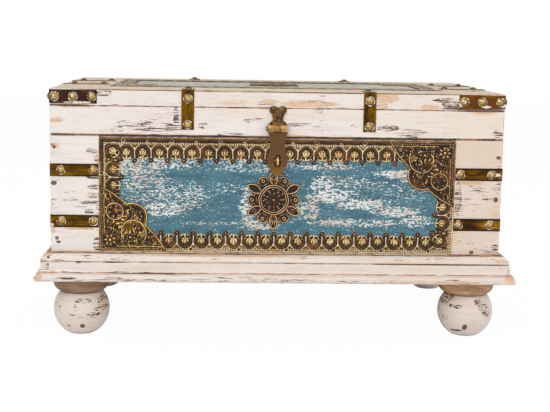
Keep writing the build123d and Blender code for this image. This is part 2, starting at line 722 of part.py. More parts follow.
def make_hasp_hanger():
    """The fixed half of the hasp: outer knuckles, hanger with two bosses, and the pin."""
    x0, x1, x2, x3 = hasp_edges()
    y = hasp_axis_y
    z = hasp_axis_z
    plane = Plane(origin=(hasp_x, front_face, z), x_dir=(1, 0, 0), z_dir=(0, -1, 0))
    hanger = extrude(plane.location * hanger_outline(), hasp_t)
    nail_y = front_face - hasp_t
    boss = domed(boss_dome_r, boss_dome, nail_shank_r, hasp_t / 2)
    for side in (-1, 1):
        hanger += at((hasp_x + side * boss_apart, nail_y, z + boss_up), (0, -1, 0), boss)
    hole_r = hasp_pin_r + pin_fit
    for start, stop in ((x0, x1 - side_gap / 2), (x2 + side_gap / 2, x3)):
        hanger += knuckle((start + stop) / 2, stop - start, y, z, hasp_barrel_r, hole_r)
    room = Cylinder(hasp_barrel_r + knuckle_room, knuckle_middle + side_gap)
    hanger -= along_x((x1 + x2) / 2, y, z, room)
    hanger -= along_x(hasp_x, y, z, Cylinder(hole_r, 2 * (x3 - x0)))
    lid_pieces["hasp_hanger"] = hanger
    foot = z + hanger_foot
    lid_nails.add((hasp_x, nail_y, (foot + z + boss_up) / 2), (0, -1, 0))
    for side in (-1, 1):
        lid_nails.add((hasp_x + side * hanger_nail_out, nail_y, foot + nail_dome), (0, -1, 0))
    pin = Cylinder(hasp_pin_r, x3 - x0 + nail_dome, align=(Align.CENTER, Align.CENTER, Align.MIN))
    head = Cylinder(hasp_pin_head_r, hasp_pin_head, align=(Align.CENTER, Align.CENTER, Align.MAX))
    head = fillet(head.edges().sort_by(Axis.Z)[0], hasp_pin_head / 3)
    lid_pieces["hasp_pin"] = along_x(x0, y, z, pin + head)


def hasp_outline():
    """The leaf below its axis: broad shoulders, a neck, a belly round the slot, and a tip."""
    right = [(19.0, -leaf_top), (17.6, -leaf_top - 5), (14.4, -30.0), (15.0, -38.0), (18.6, -50.0)]
    right += [(20.0, -60.0), (18.6, -72.0), (12.5, -82.0), (9.0, -86.0)]
    left = [(-x, z) for x, z in reversed(right)]
    tip = [(leaf_tip_half, -hasp_length), (-leaf_tip_half, -hasp_length)]
    outline = Spline(*right) + Polyline(right[-1], *tip, left[0])
    outline += Spline(*left) + Line(left[-1], right[0])
    return make_face(outline)


def make_hasp_leaf():
    """The swinging half: the middle knuckle and a flat leaf with a slot for the staple."""
    x0, x1, x2, x3 = hasp_edges()
    slot = SlotCenterToCenter(slot_height - slot_width, slot_width, rotation=90)
    face = hasp_outline() - Pos(0, -slot_below_axis) * slot
    middle = (x1 + x2) / 2
    width = knuckle_middle - side_gap
    neck = leaf_top + hasp_t / 2
    face += Pos(middle - hasp_x, -neck / 2) * Rectangle(width, neck)
    origin = (hasp_x, hasp_axis_y + hasp_t / 2, hasp_axis_z)
    plane = Plane(origin=origin, x_dir=(1, 0, 0), z_dir=(0, -1, 0))
    leaf = extrude(plane.location * face, hasp_t)
    hole_r = hasp_pin_r + pin_fit
    leaf += knuckle(middle, width, hasp_axis_y, hasp_axis_z, hasp_barrel_r, hole_r)
    return leaf - along_x(middle, hasp_axis_y, hasp_axis_z, Cylinder(hole_r, 2 * width))


# ---- everything, then one file for each node ----
def as_solids(piece):
    """Every solid of a piece, or of a list of pieces."""
    pieces = piece if isinstance(piece, list) else [piece]
    found = []
    for item in pieces:
        found += item.solids()
    return found


def write(name, solids):
    shape = solids[0] if len(solids) == 1 else Compound(children=solids)
    export_step(shape, "parts/" + name + ".step")


def write_body(pieces, groups, names):
    """Drills the pieces for the body's nails, then writes pieces and nails."""
    for name, piece in pieces.items():
        solids = [drilled(solid, groups) for solid in as_solids(piece)]
        write(name, as_solids(solids))
    for group, name in zip(groups, names):
        write(name, as_solids(group.solids()))


os.makedirs("parts", exist_ok=True)
make_box()
make_plinth()
make_feet()
make_body_straps()
make_front_trim()
make_staple()
make_hinges()
make_lid_boards()
make_lid_straps()
make_lid_trim()
make_hasp_hanger()
write_body(body_pieces, [body_studs, body_nails], ["body_studs", "body_nails"])
write_body(lid_pieces, [lid_studs, lid_nails], ["lid_studs", "lid_nails"])
write("hasp_leaf", as_solids(make_hasp_leaf()))
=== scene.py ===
from math import cos, pi, sin

import bmesh
import bpy
import numpy as np
from mathutils import Matrix, Vector


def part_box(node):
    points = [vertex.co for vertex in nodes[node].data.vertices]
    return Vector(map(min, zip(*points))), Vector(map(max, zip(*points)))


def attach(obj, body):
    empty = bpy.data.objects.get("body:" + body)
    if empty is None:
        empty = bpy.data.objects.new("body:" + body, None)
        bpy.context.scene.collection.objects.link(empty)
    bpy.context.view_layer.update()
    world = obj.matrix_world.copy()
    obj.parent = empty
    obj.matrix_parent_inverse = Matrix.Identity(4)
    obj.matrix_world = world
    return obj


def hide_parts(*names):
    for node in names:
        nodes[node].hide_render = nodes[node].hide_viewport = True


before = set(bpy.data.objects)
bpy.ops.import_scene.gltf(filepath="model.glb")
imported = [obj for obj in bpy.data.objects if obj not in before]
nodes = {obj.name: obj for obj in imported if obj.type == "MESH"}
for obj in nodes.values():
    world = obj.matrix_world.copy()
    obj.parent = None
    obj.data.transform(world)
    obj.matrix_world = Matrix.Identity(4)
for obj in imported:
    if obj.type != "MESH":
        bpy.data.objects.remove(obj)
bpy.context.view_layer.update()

# An old painted trunk: worn cream and blue paint over wood, brass straps and nails, embossed brass trim.
# Metres, X to the right, Y to the back, Z up. The embossed pieces are worked out in millimetres.

mm = 0.001


def boxOf(*names):
    # lowest and highest corner round several nodes, in millimetres
    corners = [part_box(name) for name in names]
    low = np.array([tuple(corner[0]) for corner in corners]).min(axis=0) / mm
    high = np.array([tuple(corner[1]) for corner in corners]).max(axis=0) / mm
    return low, high


class Value:
    # a number, colour or direction that changes over the surface; plain sums with it become math nodes
    def __init__(self, socket):
        self.socket = socket

    def __add__(self, other):
        return calc("ADD", self, other)

    def __sub__(self, other):
        return calc("SUBTRACT", self, other)

    def __rsub__(self, other):
        return calc("SUBTRACT", other, self)

    def __mul__(self, other):
        return calc("MULTIPLY", self, other)

    def __truediv__(self, other):
        return calc("DIVIDE", self, other)

    def __abs__(self):
        return calc("ABSOLUTE", self)

    __radd__ = __add__
    __rmul__ = __mul__


def feed(node, sockets):
    # links or sets a node's sockets, which are given by name or number
    for key, value in sockets.items():
        if isinstance(value, Value):
            node.id_data.links.new(value.socket, node.inputs[key])
        else:
            node.inputs[key].default_value = value


def treeOf(sockets):
    # the node tree in which the first changing value stands
    return next(value.socket.id_data for value in sockets.values() if isinstance(value, Value))


def wire(kind, sockets, out=0, tree=None, **settings):
    # one node, in the tree of the values that are led to it if no tree is given
    made = (tree or treeOf(sockets)).nodes.new("ShaderNode" + kind)
    for key, value in settings.items():
        setattr(made, key, value)
    feed(made, sockets)
    return Value(made.outputs[out])


def calc(operation, *parts, clamp=False):
    # one sum, on each of the three axes where a part is a direction
    sockets = dict(enumerate(parts))
    kinds = [part.socket.type for part in parts if isinstance(part, Value)]
    if "VECTOR" in kinds:
        return wire("VectorMath", sockets, operation=operation)
    return wire("Math", sockets, operation=operation, use_clamp=clamp)


def larger(a, b, clamp=False):
    return calc("MAXIMUM", a, b, clamp=clamp)


def smaller(a, b):
    return calc("MINIMUM", a, b)


def step(value, low, high, bottom=0.0, top=1.0):
    # smooth step from bottom at low to top at high
    sockets = {0: value, 1: low, 2: high, 3: bottom, 4: top}
    return wire("MapRange", sockets, interpolation_type="SMOOTHSTEP")


def mix(share, a, b):
    return wire("Mix", {0: share, 6: a, 7: b}, out=2, data_type="RGBA")


def noise(point, scale, detail=4.0, rough=0.55, warp=0.0):
    sockets = {"Vector": point, "Scale": scale, "Detail": detail, "Roughness": rough, "Distortion": warp}
    return wire("TexNoise", sockets)


def separated(point):
    # the three coordinates of a point
    split = wire("SeparateXYZ", {0: point}).socket.node
    return [Value(output) for output in split.outputs]


def rgb(red, green, blue):
    # a colour given as seen on screen, 0 to 255, turned to linear light
    def linear(value):
        value = value / 255
        return value / 12.92 if value <= 0.04045 else ((value + 0.055) / 1.055) ** 2.4
    return (linear(red), linear(green), linear(blue), 1.0)


def newGroup(name, outputs, **inputs):
    # an empty node group; an input is a number, a direction or a colour as its first value is
    tree = bpy.data.node_groups.new(name, "ShaderNodeTree")
    for label, value in inputs.items():
        kind = "Float" if isinstance(value, float) else "Vector" if len(value) == 3 else "Color"
        made = tree.interface.new_socket(label, in_out="INPUT", socket_type="NodeSocket" + kind)
        made.default_value = value
    for label in outputs:
        kind = "Color" if label == "Color" else "Float"
        tree.interface.new_socket(label, in_out="OUTPUT", socket_type="NodeSocket" + kind)
    entry = tree.nodes.new("NodeGroupInput")
    given = {label: Value(entry.outputs[label]) for label in inputs}
    return tree, given, tree.nodes.new("NodeGroupOutput")


def useGroup(group, **sockets):
    made = treeOf(sockets).nodes.new("ShaderNodeGroup")
    made.node_tree = group
    feed(made, sockets)
    return {output.name: Value(output) for output in made.outputs}


def newMaterial(name):
    made = bpy.data.materials.new(name)
    made.use_nodes = True
    shader = made.node_tree.nodes["Principled BSDF"]
    return made, shader, wire("TexCoord", {}, out="Object", tree=made.node_tree)


def dress(shader, look, depth, strength, **changed):
    # leads a look to the shader, its height as a bump of that depth; changed values take the look's place
    look = {**look, **changed}
    look["Normal"] = wire("Bump", {"Height": look.pop("Height"), "Distance": depth, "Strength": strength})
    look["Base Color"] = look.pop("Color")
    feed(shader, look)


def newPiece(name, mesh):
    made = bpy.data.objects.new(name, mesh)
    bpy.context.scene.collection.objects.link(made)
    return made


def setMaterial(piece, material):
    piece.data.materials.clear()
    piece.data.materials.append(material)


alongX = (5, 60, 60)  # how closely a pattern lies along each axis, for grain along X
alongY = (60, 5, 60)
origin = (0, 0, 0)
paintResults = ["Color", "Roughness", "Height"]
metalResults = ["Color", "Roughness", "Metallic", "Height"]


# effects that several materials share
def makeSpotGroup():
    # 1 inside the core of an ellipsoid round Centre with half axes Size, falling to 0 at its skin
    tree, given, result = newGroup("spot", ["Mask"], Point=origin, Centre=origin, Size=(1, 1, 1), Core=0.4)
    offset = (given["Point"] - given["Centre"]) / given["Size"]
    far = wire("VectorMath", {0: offset}, out="Value", operation="LENGTH")
    feed(result, {"Mask": step(far, given["Core"], 1.0, 1.0, 0.0)})
    return tree


def makeEdgeGroup():
    # distance to the nearest edge of a board: the middle one of the three distances to its faces
    tree, given, result = newGroup("board edge", ["Distance"], Point=origin, Low=origin, High=(1, 1, 1))
    fromLow = given["Point"] - given["Low"]
    fromHigh = given["High"] - given["Point"]
    a, b, c = separated(abs(smaller(fromLow, fromHigh)))
    feed(result, {"Distance": larger(smaller(a, b), smaller(larger(a, b), c))})
    return tree


def makePaintGroup():
    # worn paint: slow tints, fine grain, scratches in clumps, stains, rust, and bare wood at broken edges
    tree, given, result = newGroup(
        "worn paint", paintResults, Point=origin, Stretch=alongX, Edge=1.0, Scratched=0.0, Bared=0.0,
        Stained=0.0, Rusted=0.0, Paint=(0.8, 0.8, 0.8, 1), Tint=(0.8, 0.7, 0.5, 1),
        Wood=(0.5, 0.3, 0.15, 1), Scratches=0.4, Wear=0.003, Tinting=0.4, Warmth=0.0, Grimed=0.0, Seamed=0.0,
    )
    point = given["Point"]
    grain = point * given["Stretch"]
    broad = noise(grain, 0.55, 3.0, 0.6, 0.6)
    line = noise(grain, 3.0, 4.0, 0.75, 0.25)
    fine = noise(grain, 6.5, 5.0, 0.7, 0.15)
    hair = noise(grain, 22.0, 3.0, 0.7)
    clump = noise(point + (3.1, 1.7, 9.2), 9.0, 3.0, 0.6, 0.4)
    blotch = noise(point + (7.3, 4.4, 1.9), 30.0, 4.0, 0.65, 0.5)
    fleck = noise(point, 260.0, 3.0, 0.6)
    # tints: pinkish, yellowish and grey
    tintMask = larger(step(broad, 0.45, 0.72) * given["Tinting"], given["Warmth"], clamp=True)
    colour = mix(tintMask, given["Paint"], given["Tint"])
    colour = mix(step(clump, 0.42, 0.62) * 0.45, colour, rgb(240, 226, 222))
    colour = mix(step(line, 0.48, 0.68) * 0.34, colour, rgb(212, 192, 174))
    colour = mix(step(hair, 0.48, 0.72) * 0.34, colour, rgb(190, 168, 150))
    colour = mix(given["Grimed"], colour, mix(step(fine, 0.5, 0.62), rgb(204, 184, 156), rgb(116, 90, 64)))
    # soft stains, tan to orange
    uneven = (line - 0.5) * 1.3 + (blotch - 0.5) * 1.2
    stain = step(given["Stained"] + uneven, 0.15, 1.15) * step(given["Stained"], 0.0, 0.5, 0.0, 0.8)
    colour = mix(stain, colour, mix(step(blotch, 0.4, 0.6), rgb(222, 186, 142), rgb(230, 178, 136)))
    # scratches down to dark wood, where clumps or marks allow them
    allow = larger(step(clump, 0.5, 0.66) * given["Scratches"], given["Scratched"], clamp=True)
    over = (hair - 0.5) * 0.35 + fine - (0.8 - allow * 0.29)
    scratch = step(over, 0.0, 0.025)
    halo = step(over, -0.05, 0.02)
    colour = mix(halo * 0.5, colour, rgb(220, 180, 152))
    darkness = mix(step(fleck, 0.4, 0.6), rgb(48, 30, 26), rgb(112, 76, 56))
    colour = mix(scratch, colour, darkness)
    # bare wood in bare places and along edges, in broken stretches
    broken = step(blotch, 0.36, 0.56, 1.0, 0.0) * 0.006
    ragged = (fine - 0.5) * 0.01 + given["Edge"] + (0.0056 - broken)
    worn = step(ragged / given["Wear"], 0.4, 1.0, 1.0, 0.0)
    streaks = fine * 2.6 + (hair * 1.2 - 1.9)
    bareMask = step(given["Bared"] + uneven * 0.5 + streaks, 0.35, 0.75) * step(given["Bared"], 0.0, 0.3)
    woodTone = mix(step(hair, 0.46, 0.6), given["Wood"], rgb(212, 166, 124))
    woodTone = mix(step(fine, 0.57, 0.66), woodTone, rgb(150, 96, 62))
    colour = mix(bareMask * 0.85, colour, woodTone)
    colour = mix(worn * 0.7, colour, mix(step(fine, 0.42, 0.6), given["Wood"], rgb(150, 92, 58)))
    bare = larger(worn, bareMask)
    # painted shade: dark seams at the sharpest edge, as in a crevice; then rust
    seam = blotch * 0.0024 + (given["Edge"] - 0.0009)
    seam = step(seam, 0.0004, 0.0013, 1.0, 0.0) * 0.8
    colour = mix(seam, colour, rgb(92, 60, 44))
    # the given seam lines: painted shade in their dark tone, mixed with an orange-brown tone
    seam = step(given["Seamed"] + (fine - 0.5) * 2.2, 0.45, 0.75) * step(given["Seamed"], 0.05, 0.4)
    seamTone = mix(step(blotch, 0.44, 0.56), rgb(84, 54, 42), rgb(178, 122, 80))
    colour = mix(seam * 0.85, colour, seamTone)
    rust = step(given["Rusted"] + (fine - 0.5) * 1.5, 0.35, 0.62) * step(given["Rusted"], 0.02, 0.1)
    missing = larger(larger(scratch, bare), rust)
    height = hair * 0.35 + fine * 0.5 - missing * 0.6
    colour = mix(rust * 0.9, colour, darkness)
    feed(result, {"Color": colour, "Roughness": missing * 0.22 + 0.56, "Height": height})
    return tree


def makeWoodGroup():
    # unpainted wood: long grain, darker pores and dust
    tree, given, result = newGroup("bare wood", paintResults, Point=origin, Stretch=alongX,
                                   Light=rgb(178, 138, 98), Dark=rgb(120, 84, 54))
    grain = given["Point"] * given["Stretch"]
    long = noise(grain, 2.2, 5.0, 0.6, 0.5)
    pores = noise(grain, 14.0, 3.0, 0.7)
    colour = mix(step(long, 0.35, 0.65), given["Dark"], given["Light"])
    colour = mix(step(pores, 0.56, 0.7) * 0.5, colour, rgb(88, 60, 38))
    dust = noise(given["Point"], 30.0, 4.0, 0.6)
    colour = mix(step(dust, 0.45, 0.75) * 0.25, colour, rgb(196, 176, 150))
    feed(result, {"Color": colour, "Roughness": pores * 0.2 + 0.62, "Height": long - pores * 0.6})
    return tree


def makeBrassGroup():
    # aged sheet brass: dark brown film, olive and gold where it is rubbed, small scratches
    tree, given, result = newGroup(
        "aged brass", metalResults, Point=origin, Rubbed=0.3, Film=rgb(84, 58, 30), Gold=rgb(170, 132, 70),
        Bright=rgb(226, 200, 140), Size=60.0, Stretch=(1, 1, 1),
    )
    drawn = given["Point"] * given["Stretch"]
    cloud = noise(drawn, given["Size"], 5.0, 0.62, 0.5)
    speck = noise(drawn, given["Size"] * 7.0, 3.0, 0.6)
    rub = given["Rubbed"] + (cloud - 0.5) * 1.1 + (speck - 0.5) * 0.5
    colour = mix(step(rub, 0.15, 0.6), given["Film"], given["Gold"])
    colour = mix(step(rub, 0.62, 1.0), colour, given["Bright"])
    feed(result, {"Color": colour, "Roughness": step(rub, 0.1, 0.8, 0.62, 0.34),
                  "Metallic": step(rub, 0.1, 0.6, 0.55, 0.9), "Height": cloud + speck * 0.3})
    return tree


spotGroup = makeSpotGroup()
edgeGroup = makeEdgeGroup()
paintGroup = makePaintGroup()
woodGroup = makeWoodGroup()
brassGroup = makeBrassGroup()
print("groups built")


paintLook = dict(
    cream=rgb(243, 235, 229), tint=rgb(238, 218, 190), rightCream=rgb(234, 218, 204),
    rightTint=rgb(226, 202, 172), inside=rgb(206, 172, 130), insideDark=rgb(160, 122, 82),
    plinth=rgb(240, 229, 220), plinthTint=rgb(230, 208, 182), wood=rgb(236, 200, 164), topBrowning=0.9,
    # how far each kind of mark spreads past its size, and how much of it is full
    marks=dict(Scratched=(1.35, 0.7), Bared=(1.3, 0.4), Rusted=(1.1, 0.7), Stained=(1.2, 0.1)),
)
insideHalf = (boxOf("side_board_right")[0][0] * mm, boxOf("back_board")[0][1] * mm)
lidTop = boxOf("lid_frame_front")[1][2]
lidSeam = boxOf("lid_frame_front")[0][2]
bodyTop = boxOf("front_stile_left")[1][2]
plinthTop = boxOf("plinth_front")[1][2]


def addSpots(point, spots, grow=1.0, core=0.4, front=-0.28):
    # the greatest of several spots; a spot is centre X, Z, half axes X, Z and strength
    total = None
    for x, z, halfX, halfZ, strength in spots:
        size = (halfX * grow * mm, 0.2, halfZ * grow * mm)
        spot = useGroup(spotGroup, Point=point, Centre=(x * mm, front, z * mm), Size=size, Core=core)
        mask = spot["Mask"] * strength
        total = mask if total is None else larger(total, mask)
    return 0.0 if total is None else total


def addMarks(point, marks, spreads):
    return {kind: addSpots(point, marks.get(kind.lower(), ()), *spread) for kind, spread in spreads.items()}


def makeSeams(places, board, seams):
    # the lines carry painted shade along joints and the plinth moulding's creases
    # 1 on level lines; a seam is its Z, half width and strength, and a board keeps them to its upright faces
    upright = 1.0
    if board:
        faces = [abs(places[axis] - corner[axis]) for axis in (0, 1) for corner in board]
        nearest = smaller(smaller(faces[0], faces[1]), smaller(faces[2], faces[3]))
        upright = step(nearest, 0.0006, 0.0014, 1.0, 0.0)
    total = 0.0
    for z, half, strength in seams:
        away = abs(places[2] - z * mm)
        total = larger(step(away, half * 0.3 * mm, half * mm, strength, 0.0), total)
    return total * upright


def insideBox(places, top=None):
    # 1 on the faces that look into the box or into the lid, 0 elsewhere
    mask = 1.0
    for place, face in zip(places, insideHalf):
        mask = mask * step(abs(place), face + 0.0003, face + 0.0006, 1.0, 0.0)
    if top is not None:
        mask = mask * step(places[2], top + 0.0003, top + 0.0006, 1.0, 0.0)
    return mask


def addInside(point, places, stretch, colour, top=None):
    # unpainted wood on the inner faces
    wood = useGroup(woodGroup, Point=point, Stretch=stretch, Light=paintLook["inside"],
                    Dark=paintLook["insideDark"])
    return mix(insideBox(places, top), colour, wood["Color"])


def plainInside(places, height, top=None):
    # the paint's relief, faint on the inner faces
    return height * (1.0 - insideBox(places, top) * 0.7)


def makePaint(name, board, stretch, paint, tint, seams, scratches=0.7, wear=0.003, tinting=0.5, marks=None):
    material, shader, point = newMaterial(name)
    low, high = board
    places = separated(point)
    edge = useGroup(edgeGroup, Point=point, Low=low, High=high)["Distance"]
    seamed = makeSeams(places, None if "plinth" in name else board, seams)
    # the top faces are browner, and the right end is yellower
    darkening = step(places[2], high[2] - 0.001, high[2] - 0.0003, 0.0, paintLook["topBrowning"])
    warmth = step(places[0], 0.0, 0.45, 0.0, 0.5)
    look = useGroup(
        paintGroup, Point=point, Stretch=stretch, Edge=edge, Paint=paint, Tint=tint, Wood=paintLook["wood"],
        Scratches=scratches, Wear=wear, Tinting=tinting, Grimed=darkening, Warmth=warmth, Seamed=seamed,
        **addMarks(point, marks or {}, paintLook["marks"]),
    )
    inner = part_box("lid_panel")[0][2] if "lid_frame" in name else None
    dress(shader, look, 0.0007, 0.7, Color=addInside(point, places, stretch, look["Color"], inner),
          Height=plainInside(places, look["Height"], inner))
    return material


# marks on the front, by board: X, Z, half width and half height in mm, and strength
boardMarks = dict(
    lid_frame_front=dict(
        scratched=[(-346, 491, 16, 6, 1.2), (334, 486, 28, 5, 0.9), (346, 479, 22, 9, 1.0),
                   (-300, 470, 60, 3, 0.6), (-50, 471, 22, 4, 0.8), (150, 470, 60, 3, 0.7)],
        bared=[(60, 475, 64, 8, 1.0), (212, 489, 26, 10, 1.2), (300, 472, 24, 5, 1.0),
               (-20, 478, 24, 6, 0.8), (205, 476, 12, 20, 0.9), (60, 497, 380, 1.1, 1.0)],
        stained=[(-88, 475, 46, 9, 1.0), (-300, 496, 60, 3, 0.8), (10, 496, 300, 2, 0.8)],
        rusted=[(-420, 467, 50, 1.6, 0.8), (400, 468, 50, 2.0, 0.9), (345, 470, 24, 2.4, 0.8),
                (150, 497.2, 290, 1.0, 0.95), (-230, 497.2, 190, 0.9, 0.8)],
    ),
    lid_skirt_front=dict(
        scratched=[(-283, 432, 36, 7, 0.9), (-240, 425, 54, 8, 1.0), (-203, 443, 5, 26, 1.0),
                   (-319, 420, 12, 12, 0.9), (-190, 432, 14, 9, 0.8), (-50, 442, 18, 6, 0.75),
                   (-150, 430, 10, 6, 0.9), (-96, 413, 24, 5, 0.9), (40, 433, 30, 4, 1.0),
                   (152, 433, 9, 3, 0.9), (217, 429, 22, 6, 1.0), (265, 420, 34, 9, 0.9),
                   (438, 421, 10, 8, 1.0), (-250, 411, 60, 3, 0.7), (340, 466, 60, 3, 0.8),
                   (100, 411, 80, 3, 0.6)],
        bared=[(-436, 437, 12, 5, 0.7), (-400, 464, 40, 3, 0.8), (30, 411, 50, 3, 0.7),
               (-300, 410, 50, 3, 0.7)],
        stained=[(-436, 437, 26, 9, 0.9), (410, 462, 40, 8, 0.9), (-330, 416, 50, 6, 0.6),
                 (430, 430, 26, 16, 0.6)],
        rusted=[(-420, 465, 40, 1.4, 0.7), (400, 465, 60, 1.6, 0.9)],
    ),
    front_stile_left=dict(
        scratched=[(-367, 377, 12, 5, 1.0), (-356, 362, 7, 10, 1.0), (-364, 324, 14, 3, 1.0),
                   (-364, 305, 12, 5, 1.0), (-366, 289, 14, 6, 1.0), (-412, 279, 14, 4, 0.9),
                   (-374, 274, 24, 4, 1.0), (-392, 264, 14, 3, 0.8), (-374, 256, 9, 5, 0.9),
                   (-357, 190, 9, 14, 1.0), (-400, 293, 22, 3, 0.7), (-356, 240, 6, 40, 0.7)],
        bared=[(-392, 221, 34, 3, 0.8), (-446, 222, 6, 12, 0.9)],
        stained=[(-440, 386, 14, 10, 0.9), (-391, 221, 44, 6, 0.9), (-360, 340, 12, 60, 0.6)],
        rusted=[(-442, 384, 4, 3.4, 1.0), (-443, 312, 6, 4.5, 1.0), (-438, 202, 4, 4, 1.0),
                (-435, 194, 5, 3, 1.0)],
    ),
    front_stile_right=dict(
        scratched=[(363, 289, 7, 34, 1.0), (425, 290, 13, 4, 1.0), (443, 190, 9, 6, 1.0),
                   (439, 311, 9, 8, 0.8), (443, 340, 5, 40, 0.8), (380, 200, 20, 6, 0.7),
                   (375, 256, 20, 6, 0.7)],
        bared=[(388, 321, 30, 4, 0.75), (385, 345, 40, 3, 0.7)],
        stained=[(388, 321, 40, 7, 1.0), (439, 288, 14, 14, 0.9), (440, 250, 14, 50, 0.7),
                 (360, 250, 10, 80, 0.7), (395, 182, 50, 8, 0.7)],
        rusted=[(441, 373, 5, 3.4, 1.0), (439, 288, 5, 5.5, 1.0), (394, 180, 5, 4, 1.0)],
    ),
    plinth_front=dict(
        scratched=[(-373, 167, 9, 3, 1.0), (-433, 159, 12, 3, 1.0), (-410, 170, 40, 3, 0.7),
                   (-325, 166, 60, 4, 0.7), (331, 168, 30, 3, 0.9), (200, 167, 60, 4, 0.6),
                   (-50, 167, 130, 4, 0.6), (-417, 127, 20, 3, 1.0), (-324, 127, 18, 3, 1.0),
                   (226, 127, 30, 3, 0.8), (357, 126, 36, 4, 0.9), (-60, 127, 120, 4, 0.8),
                   (430, 167, 20, 3, 0.7), (-462, 150, 10, 18, 0.8), (-340, 137, 90, 3, 0.9),
                   (-180, 136, 60, 3, 0.7), (100, 124, 330, 3, 0.75), (-300, 123, 160, 3, 0.75),
                   (470, 140, 6, 18, 0.8)],
        bared=[(-456, 172, 10, 6, 1.0), (468, 131, 12, 8, 1.0), (452, 164, 14, 5, 0.8),
               (-472, 130, 10, 8, 1.0), (360, 123, 60, 4, 0.7), (-120, 171.5, 200, 2.0, 0.7)],
        stained=[(-443, 138, 12, 6, 1.0), (-100, 170, 260, 4, 0.8), (300, 160, 200, 8, 0.6),
                 (300, 125, 200, 5, 0.6)],
        rusted=[(-453, 166, 3, 3, 1.0), (-394, 157, 6, 2.5, 0.9), (-325, 157.4, 24, 1.4, 1.0),
                (330, 157.4, 150, 1.2, 0.8), (-250, 136.5, 90, 1.4, 0.7)],
    ),
)


def paintBoards():
    left = dict(paint=paintLook["cream"], tint=paintLook["tint"])
    right = dict(paint=paintLook["rightCream"], tint=paintLook["rightTint"])
    # level lines of painted shade: the plinth moulding's creases and the joints between lid, body and plinth
    creases = ((plinthTop, 1.6, 0.75), (157.6, 1.6, 0.7), (137.0, 1.8, 0.75), (120.0, 1.5, 0.5))
    low = dict(paint=paintLook["plinth"], tint=paintLook["plinthTint"], seams=creases, scratches=0.45,
               tinting=0.6, wear=0.004)
    skirt = ((lidSeam - 0.6, 1.3, 0.8), (bodyTop + 1.0, 2.0, 1.6))
    frameSeam = ((lidSeam + 0.5, 1.2, 0.7), (lidTop - 0.4, 1.0, 0.55))
    trunk = ((bodyTop - 0.8, 2.2, 1.6), (plinthTop + 0.8, 2.0, 0.8))
    looks = dict(
        lid_frame_front=left, lid_frame_rear=left, lid_skirt_front=left, lid_skirt_rear=left,
        back_board=left,
        front_stile_left=dict(left, scratches=0.85), front_stile_right=dict(right, scratches=0.85),
        lid_frame_left=left, lid_skirt_left=left, side_board_left=left,
        lid_frame_right=right, lid_skirt_right=right, side_board_right=right,
        plinth_front=low, plinth_rear=low, plinth_left=low, plinth_right=low,
    )
    for name, look in looks.items():
        if "plinth" not in name:
            seams = skirt if "skirt" in name else frameSeam if "frame" in name else trunk
            looks[name] = dict(look, seams=seams)
        if name not in boardMarks:
            looks[name] = dict(looks[name], scratches=1.3)
    for name, look in looks.items():
        grain = alongY if name.endswith(("left", "right")) and "stile" not in name else alongX
        paint = makePaint("cream_" + name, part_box(name), grain, marks=boardMarks.get(name), **look)
        setMaterial(nodes[name], paint)
    print("boards painted")


paintBoards()


# feet: painted balls up to the neck, whose height is in metres, and bare collars above
footLook = dict(
    neck=0.0883, ball=rgb(238, 225, 216), tint=rgb(228, 200, 174),
    leftCollar=(rgb(168, 130, 98), rgb(120, 88, 64)), rightCollar=(rgb(206, 164, 122), rgb(156, 114, 78)),
    marks=dict(Scratched=(1.5, 0.6), Stained=(1.3, 0.0), Rusted=(1.0, 0.4)),
)
footMarks = dict(
    foot_front_left=dict(
        scratched=[(-388, 74, 16, 4, 1.0), (-404, 64, 4, 3, 1.0), (-408, 47, 7, 3, 1.0),
                   (-366, 46, 12, 4, 1.0), (-352, 58, 12, 6, 1.0), (-352, 73, 8, 7, 1.0),
                   (-380, 40, 18, 4, 0.8), (-440, 60, 8, 10, 0.7)],
        stained=[(-350, 62, 16, 34, 0.5), (-368, 26, 26, 12, 0.5), (-384, 80, 20, 6, 0.4)],
        rusted=[(-389, 22, 7, 7, 0.9), (-417, 22, 7, 4, 0.6)],
    ),
    foot_front_right=dict(
        scratched=[(414, 76, 9, 7, 1.0), (424, 66, 10, 8, 1.0), (430, 54, 9, 9, 1.0), (348, 72, 8, 4, 1.0),
                   (368, 67, 12, 4, 1.0), (358, 84, 10, 7, 0.9), (349, 40, 6, 6, 0.9)],
        stained=[(358, 82, 20, 12, 0.5), (412, 36, 24, 12, 0.5), (436, 50, 12, 26, 0.5)],
        rusted=[(387, 24, 7, 10, 1.0), (352, 88, 10, 4, 0.7), (372, 15, 16, 4, 0.8)],
    ),
)


def makeFootPaint(node, collars):
    material, shader, point = newMaterial("paint_" + node)
    height = separated(point)[2]
    ball = useGroup(
        paintGroup, Point=point, Stretch=(16, 16, 60), Paint=footLook["ball"], Tint=footLook["tint"],
        Wood=paintLook["wood"], Scratches=0.6, Tinting=0.6,
        **addMarks(point, footMarks.get(node, {}), footLook["marks"]),
    )
    light, dark = collars
    collar = useGroup(woodGroup, Point=point, Stretch=(10, 10, 60), Light=light, Dark=dark)
    neck = footLook["neck"]
    collarColour = mix(step(height, neck + 0.012, neck + 0.03, 0.0, 0.5), collar["Color"], dark)
    wobble = noise(point, 40.0) * 0.006 + (height - 0.003)
    colour = mix(step(wobble, neck - 0.0012, neck + 0.0012), ball["Color"], collarColour)
    # painted shade: a dark band in the groove where ball and collar meet
    darkening = step(abs(height - neck), 0.0008, 0.0032, 0.65, 0.0)
    dress(shader, ball, 0.0007, 0.7, Color=mix(darkening, colour, rgb(84, 58, 44)))
    setMaterial(nodes[node], material)


for side in ("left", "right"):
    for place in ("front", "rear"):
        makeFootPaint("foot_%s_%s" % (place, side), footLook[side + "Collar"])


blueLook = dict(
    blue=rgb(70, 120, 136), deep=rgb(52, 96, 114), pale=rgb(116, 158, 160), white=rgb(240, 238, 232),
    warmWhite=rgb(232, 214, 198), lid=rgb(108, 140, 132), flake=(70, 1, 280), dot=(210, 1, 400),
    lidFlake=(40, 160, 1), lidDot=(120, 320, 1),
)
